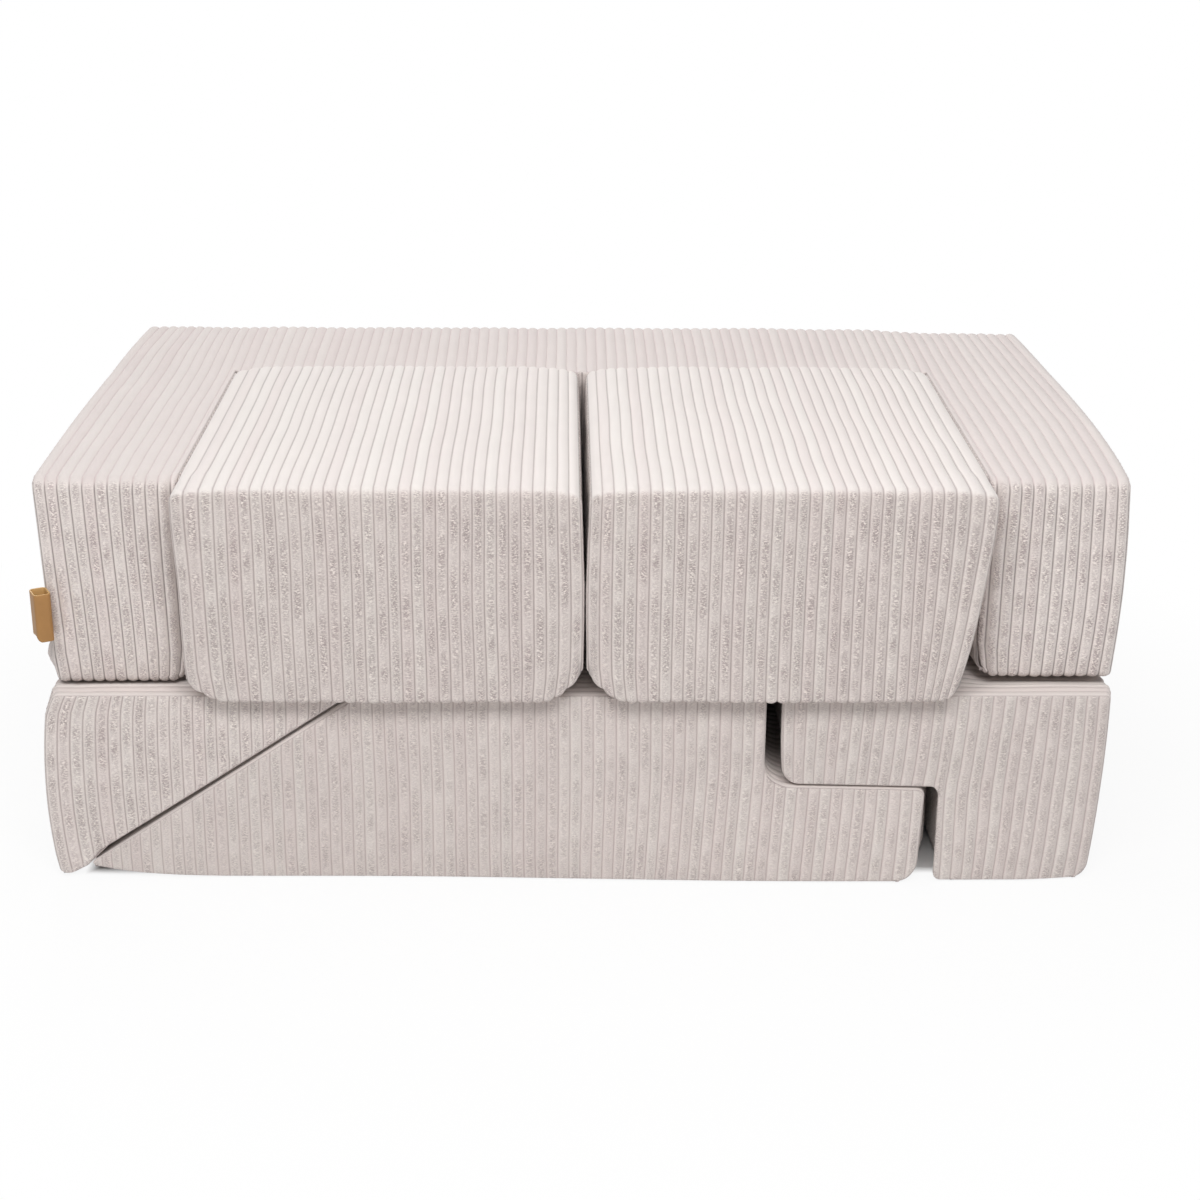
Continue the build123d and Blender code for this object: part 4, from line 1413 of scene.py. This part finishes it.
def leather(name, light, dark, grain):
    """Smooth hide with a fine grain, darker where it has been rubbed."""
    dye = Dye(name)
    spot = dye.place()
    cells = dye.node("TexVoronoi", {"feature": "DISTANCE_TO_EDGE"}, Vector=spot, Scale=1300.0)
    cloud = dye.node("TexNoise", {}, Vector=spot, Scale=60.0, Detail=3.0)
    colour = dye.mix(cloud, dark, light)
    bump = dye.node("Bump", {}, Strength=grain, Distance=1.0, Height=cells * 0.0003)
    return dye.finish(
        Base_Color=colour, Roughness=0.42 + cloud * 0.16, Normal=bump, Specular_IOR_Level=0.45,
    )


tag_face = leather("tag_face", (0.42, 0.215, 0.070, 1), (0.33, 0.165, 0.052, 1), 0.35)
tag_raw = leather("tag_raw_edge", (0.66, 0.42, 0.18, 1), (0.56, 0.34, 0.13, 1), 0.5)

loop = rounded([
    ((-tag_width / 2, -tag_depth / 2), 0.005), ((-tag_width / 2, tag_depth / 2), 0.005),
    ((tag_width / 2, tag_depth / 2), 0.005), ((tag_width / 2, -tag_depth / 2), 0.005),
], closed=True)
ring = bmesh.new()
runs = loop.stations(0.0015)
heights = np.concatenate([[0, 0.002, 0.005], np.linspace(0.010, tag_height, 10)])
grid = bmesh.ops.create_grid(ring, x_segments=len(runs) - 1, y_segments=len(heights) - 1, size=1)["verts"]
for index, vert in enumerate(grid):
    (across, inward), _ = loop.at(runs[index % len(runs)])
    height = heights[index // len(runs)]
    past = max(0.0, tag_corner - (across + tag_width / 2))
    rounding = tag_corner - math.sqrt(max(0.0, tag_corner ** 2 - past ** 2))
    height = rounding + height * (tag_height - rounding) / tag_height
    vert.co = tag_foot + tag_across * float(across) - tag_outward * float(inward) + Vector((0, 0, height))
bmesh.ops.remove_doubles(ring, verts=ring.verts, dist=1e-6)
bmesh.ops.recalc_face_normals(ring, faces=ring.faces[:])
middle = tag_foot + Vector((0, 0, tag_height / 2))
if sum((face.calc_center_median() - middle).dot(face.normal) for face in ring.faces) < 0:
    bmesh.ops.reverse_faces(ring, faces=ring.faces[:])
mesh = bpy.data.meshes.new("back_leather_tag")
ring.to_mesh(mesh)
ring.free()
mesh.materials.append(tag_face)
mesh.materials.append(tag_raw)
mesh.shade_smooth()
tag = link("tag_loop_leather", mesh, "back", "back_leather_tag")
wall = tag.modifiers.new("leather", "SOLIDIFY")
wall.thickness = tag_leather
wall.offset = -1
wall.material_offset = 1
wall.material_offset_rim = 1
soften = tag.modifiers.new("soften", "BEVEL")
soften.width = 0.0005
soften.segments = 2
soften.angle_limit = math.radians(50)
print("tag foot at", tag_foot, "with", len(mesh.polygons), "faces")

# %% [markdown]
# The photograph is a plain studio picture on white: a broad light from above, so that level faces are
# the lightest, and one from high in front, so that the cushions throw a shadow on the blocks below. A
# third lamp behind keeps the rear readable. The surroundings give an even fill, and are white where
# the camera sees them.

# %% Light
bpy.context.scene.view_settings.view_transform = "Standard"
world = bpy.data.worlds.new("studio")
bpy.context.scene.world = world
studio = Dye("studio", world)
studio.finish(Color=(1, 1, 1, 1), Strength=0.28)
studio.glow(studio.seen_directly(), "Background", (1, 1, 1, 1))


def soft_box(name, at, to, size, watts):
    """A rectangular lamp that faces a point."""
    data = bpy.data.lights.new(name, "AREA")
    data.shape = "RECTANGLE"
    data.size, data.size_y = size
    data.energy = watts
    lamp = bpy.data.objects.new(name, data)
    lamp.location = at
    lamp.rotation_euler = (Vector(to) - Vector(at)).to_track_quat("-Z", "Y").to_euler()
    bpy.context.scene.collection.objects.link(lamp)


soft_box("overhead_softbox", (0.0, 0.0, 2.6), (0, 0, 0.2), (2.4, 1.6), 15)
soft_box("front_softbox", (-0.1, -2.3, 2.7), (0, 0, 0.25), (3.0, 1.0), 74)
soft_box("rear_softbox", (-0.7, 2.9, 1.8), (0, 0, 0.25), (2.2, 1.2), 36)
print("lamps:", [lamp.name for lamp in bpy.data.lights])

# %% [markdown]
# The floor is a wide white sheet. It keeps the soft shadow beside the sofa and the dark one in the
# gaps beneath it, and away from the sofa it turns into the same plain white as the backdrop.

# %% Floor
sheet = bmesh.new()
bmesh.ops.create_grid(sheet, x_segments=1, y_segments=1, size=15)
floor_mesh = bpy.data.meshes.new("floor")
sheet.to_mesh(floor_mesh)
sheet.free()
floor = bpy.data.objects.new("floor", floor_mesh)
bpy.context.scene.collection.objects.link(floor)
white = Dye("floor_white")
floor_spot = white.place()
far = white.node("VectorMath", {"operation": "LENGTH"}, floor_spot, out="Value")
fade = white.node("MapRange", {"interpolation_type": "SMOOTHSTEP"}, far, 0.70, 1.15, 0.90, 1.0)
off_x = white.axis(floor_spot, 0).math("ABSOLUTE") - 0.575
off_y = white.axis(floor_spot, 1).math("ABSOLUTE") - 0.332
outside = white.node("MapRange", {}, off_x.math("MAXIMUM", off_y), -0.012, 0.003, 0.0, 1.0)
white.glow(white.seen_directly() * fade * outside, "Emission", (1, 1, 1, 1))
floor_paint = white.finish(Base_Color=(0.9, 0.9, 0.9, 1), Roughness=0.9, Specular_IOR_Level=0.0)
floor_mesh.materials.append(floor_paint)
print("floor:", floor.name, "reaches", floor.dimensions.x / 2, "m from the middle")
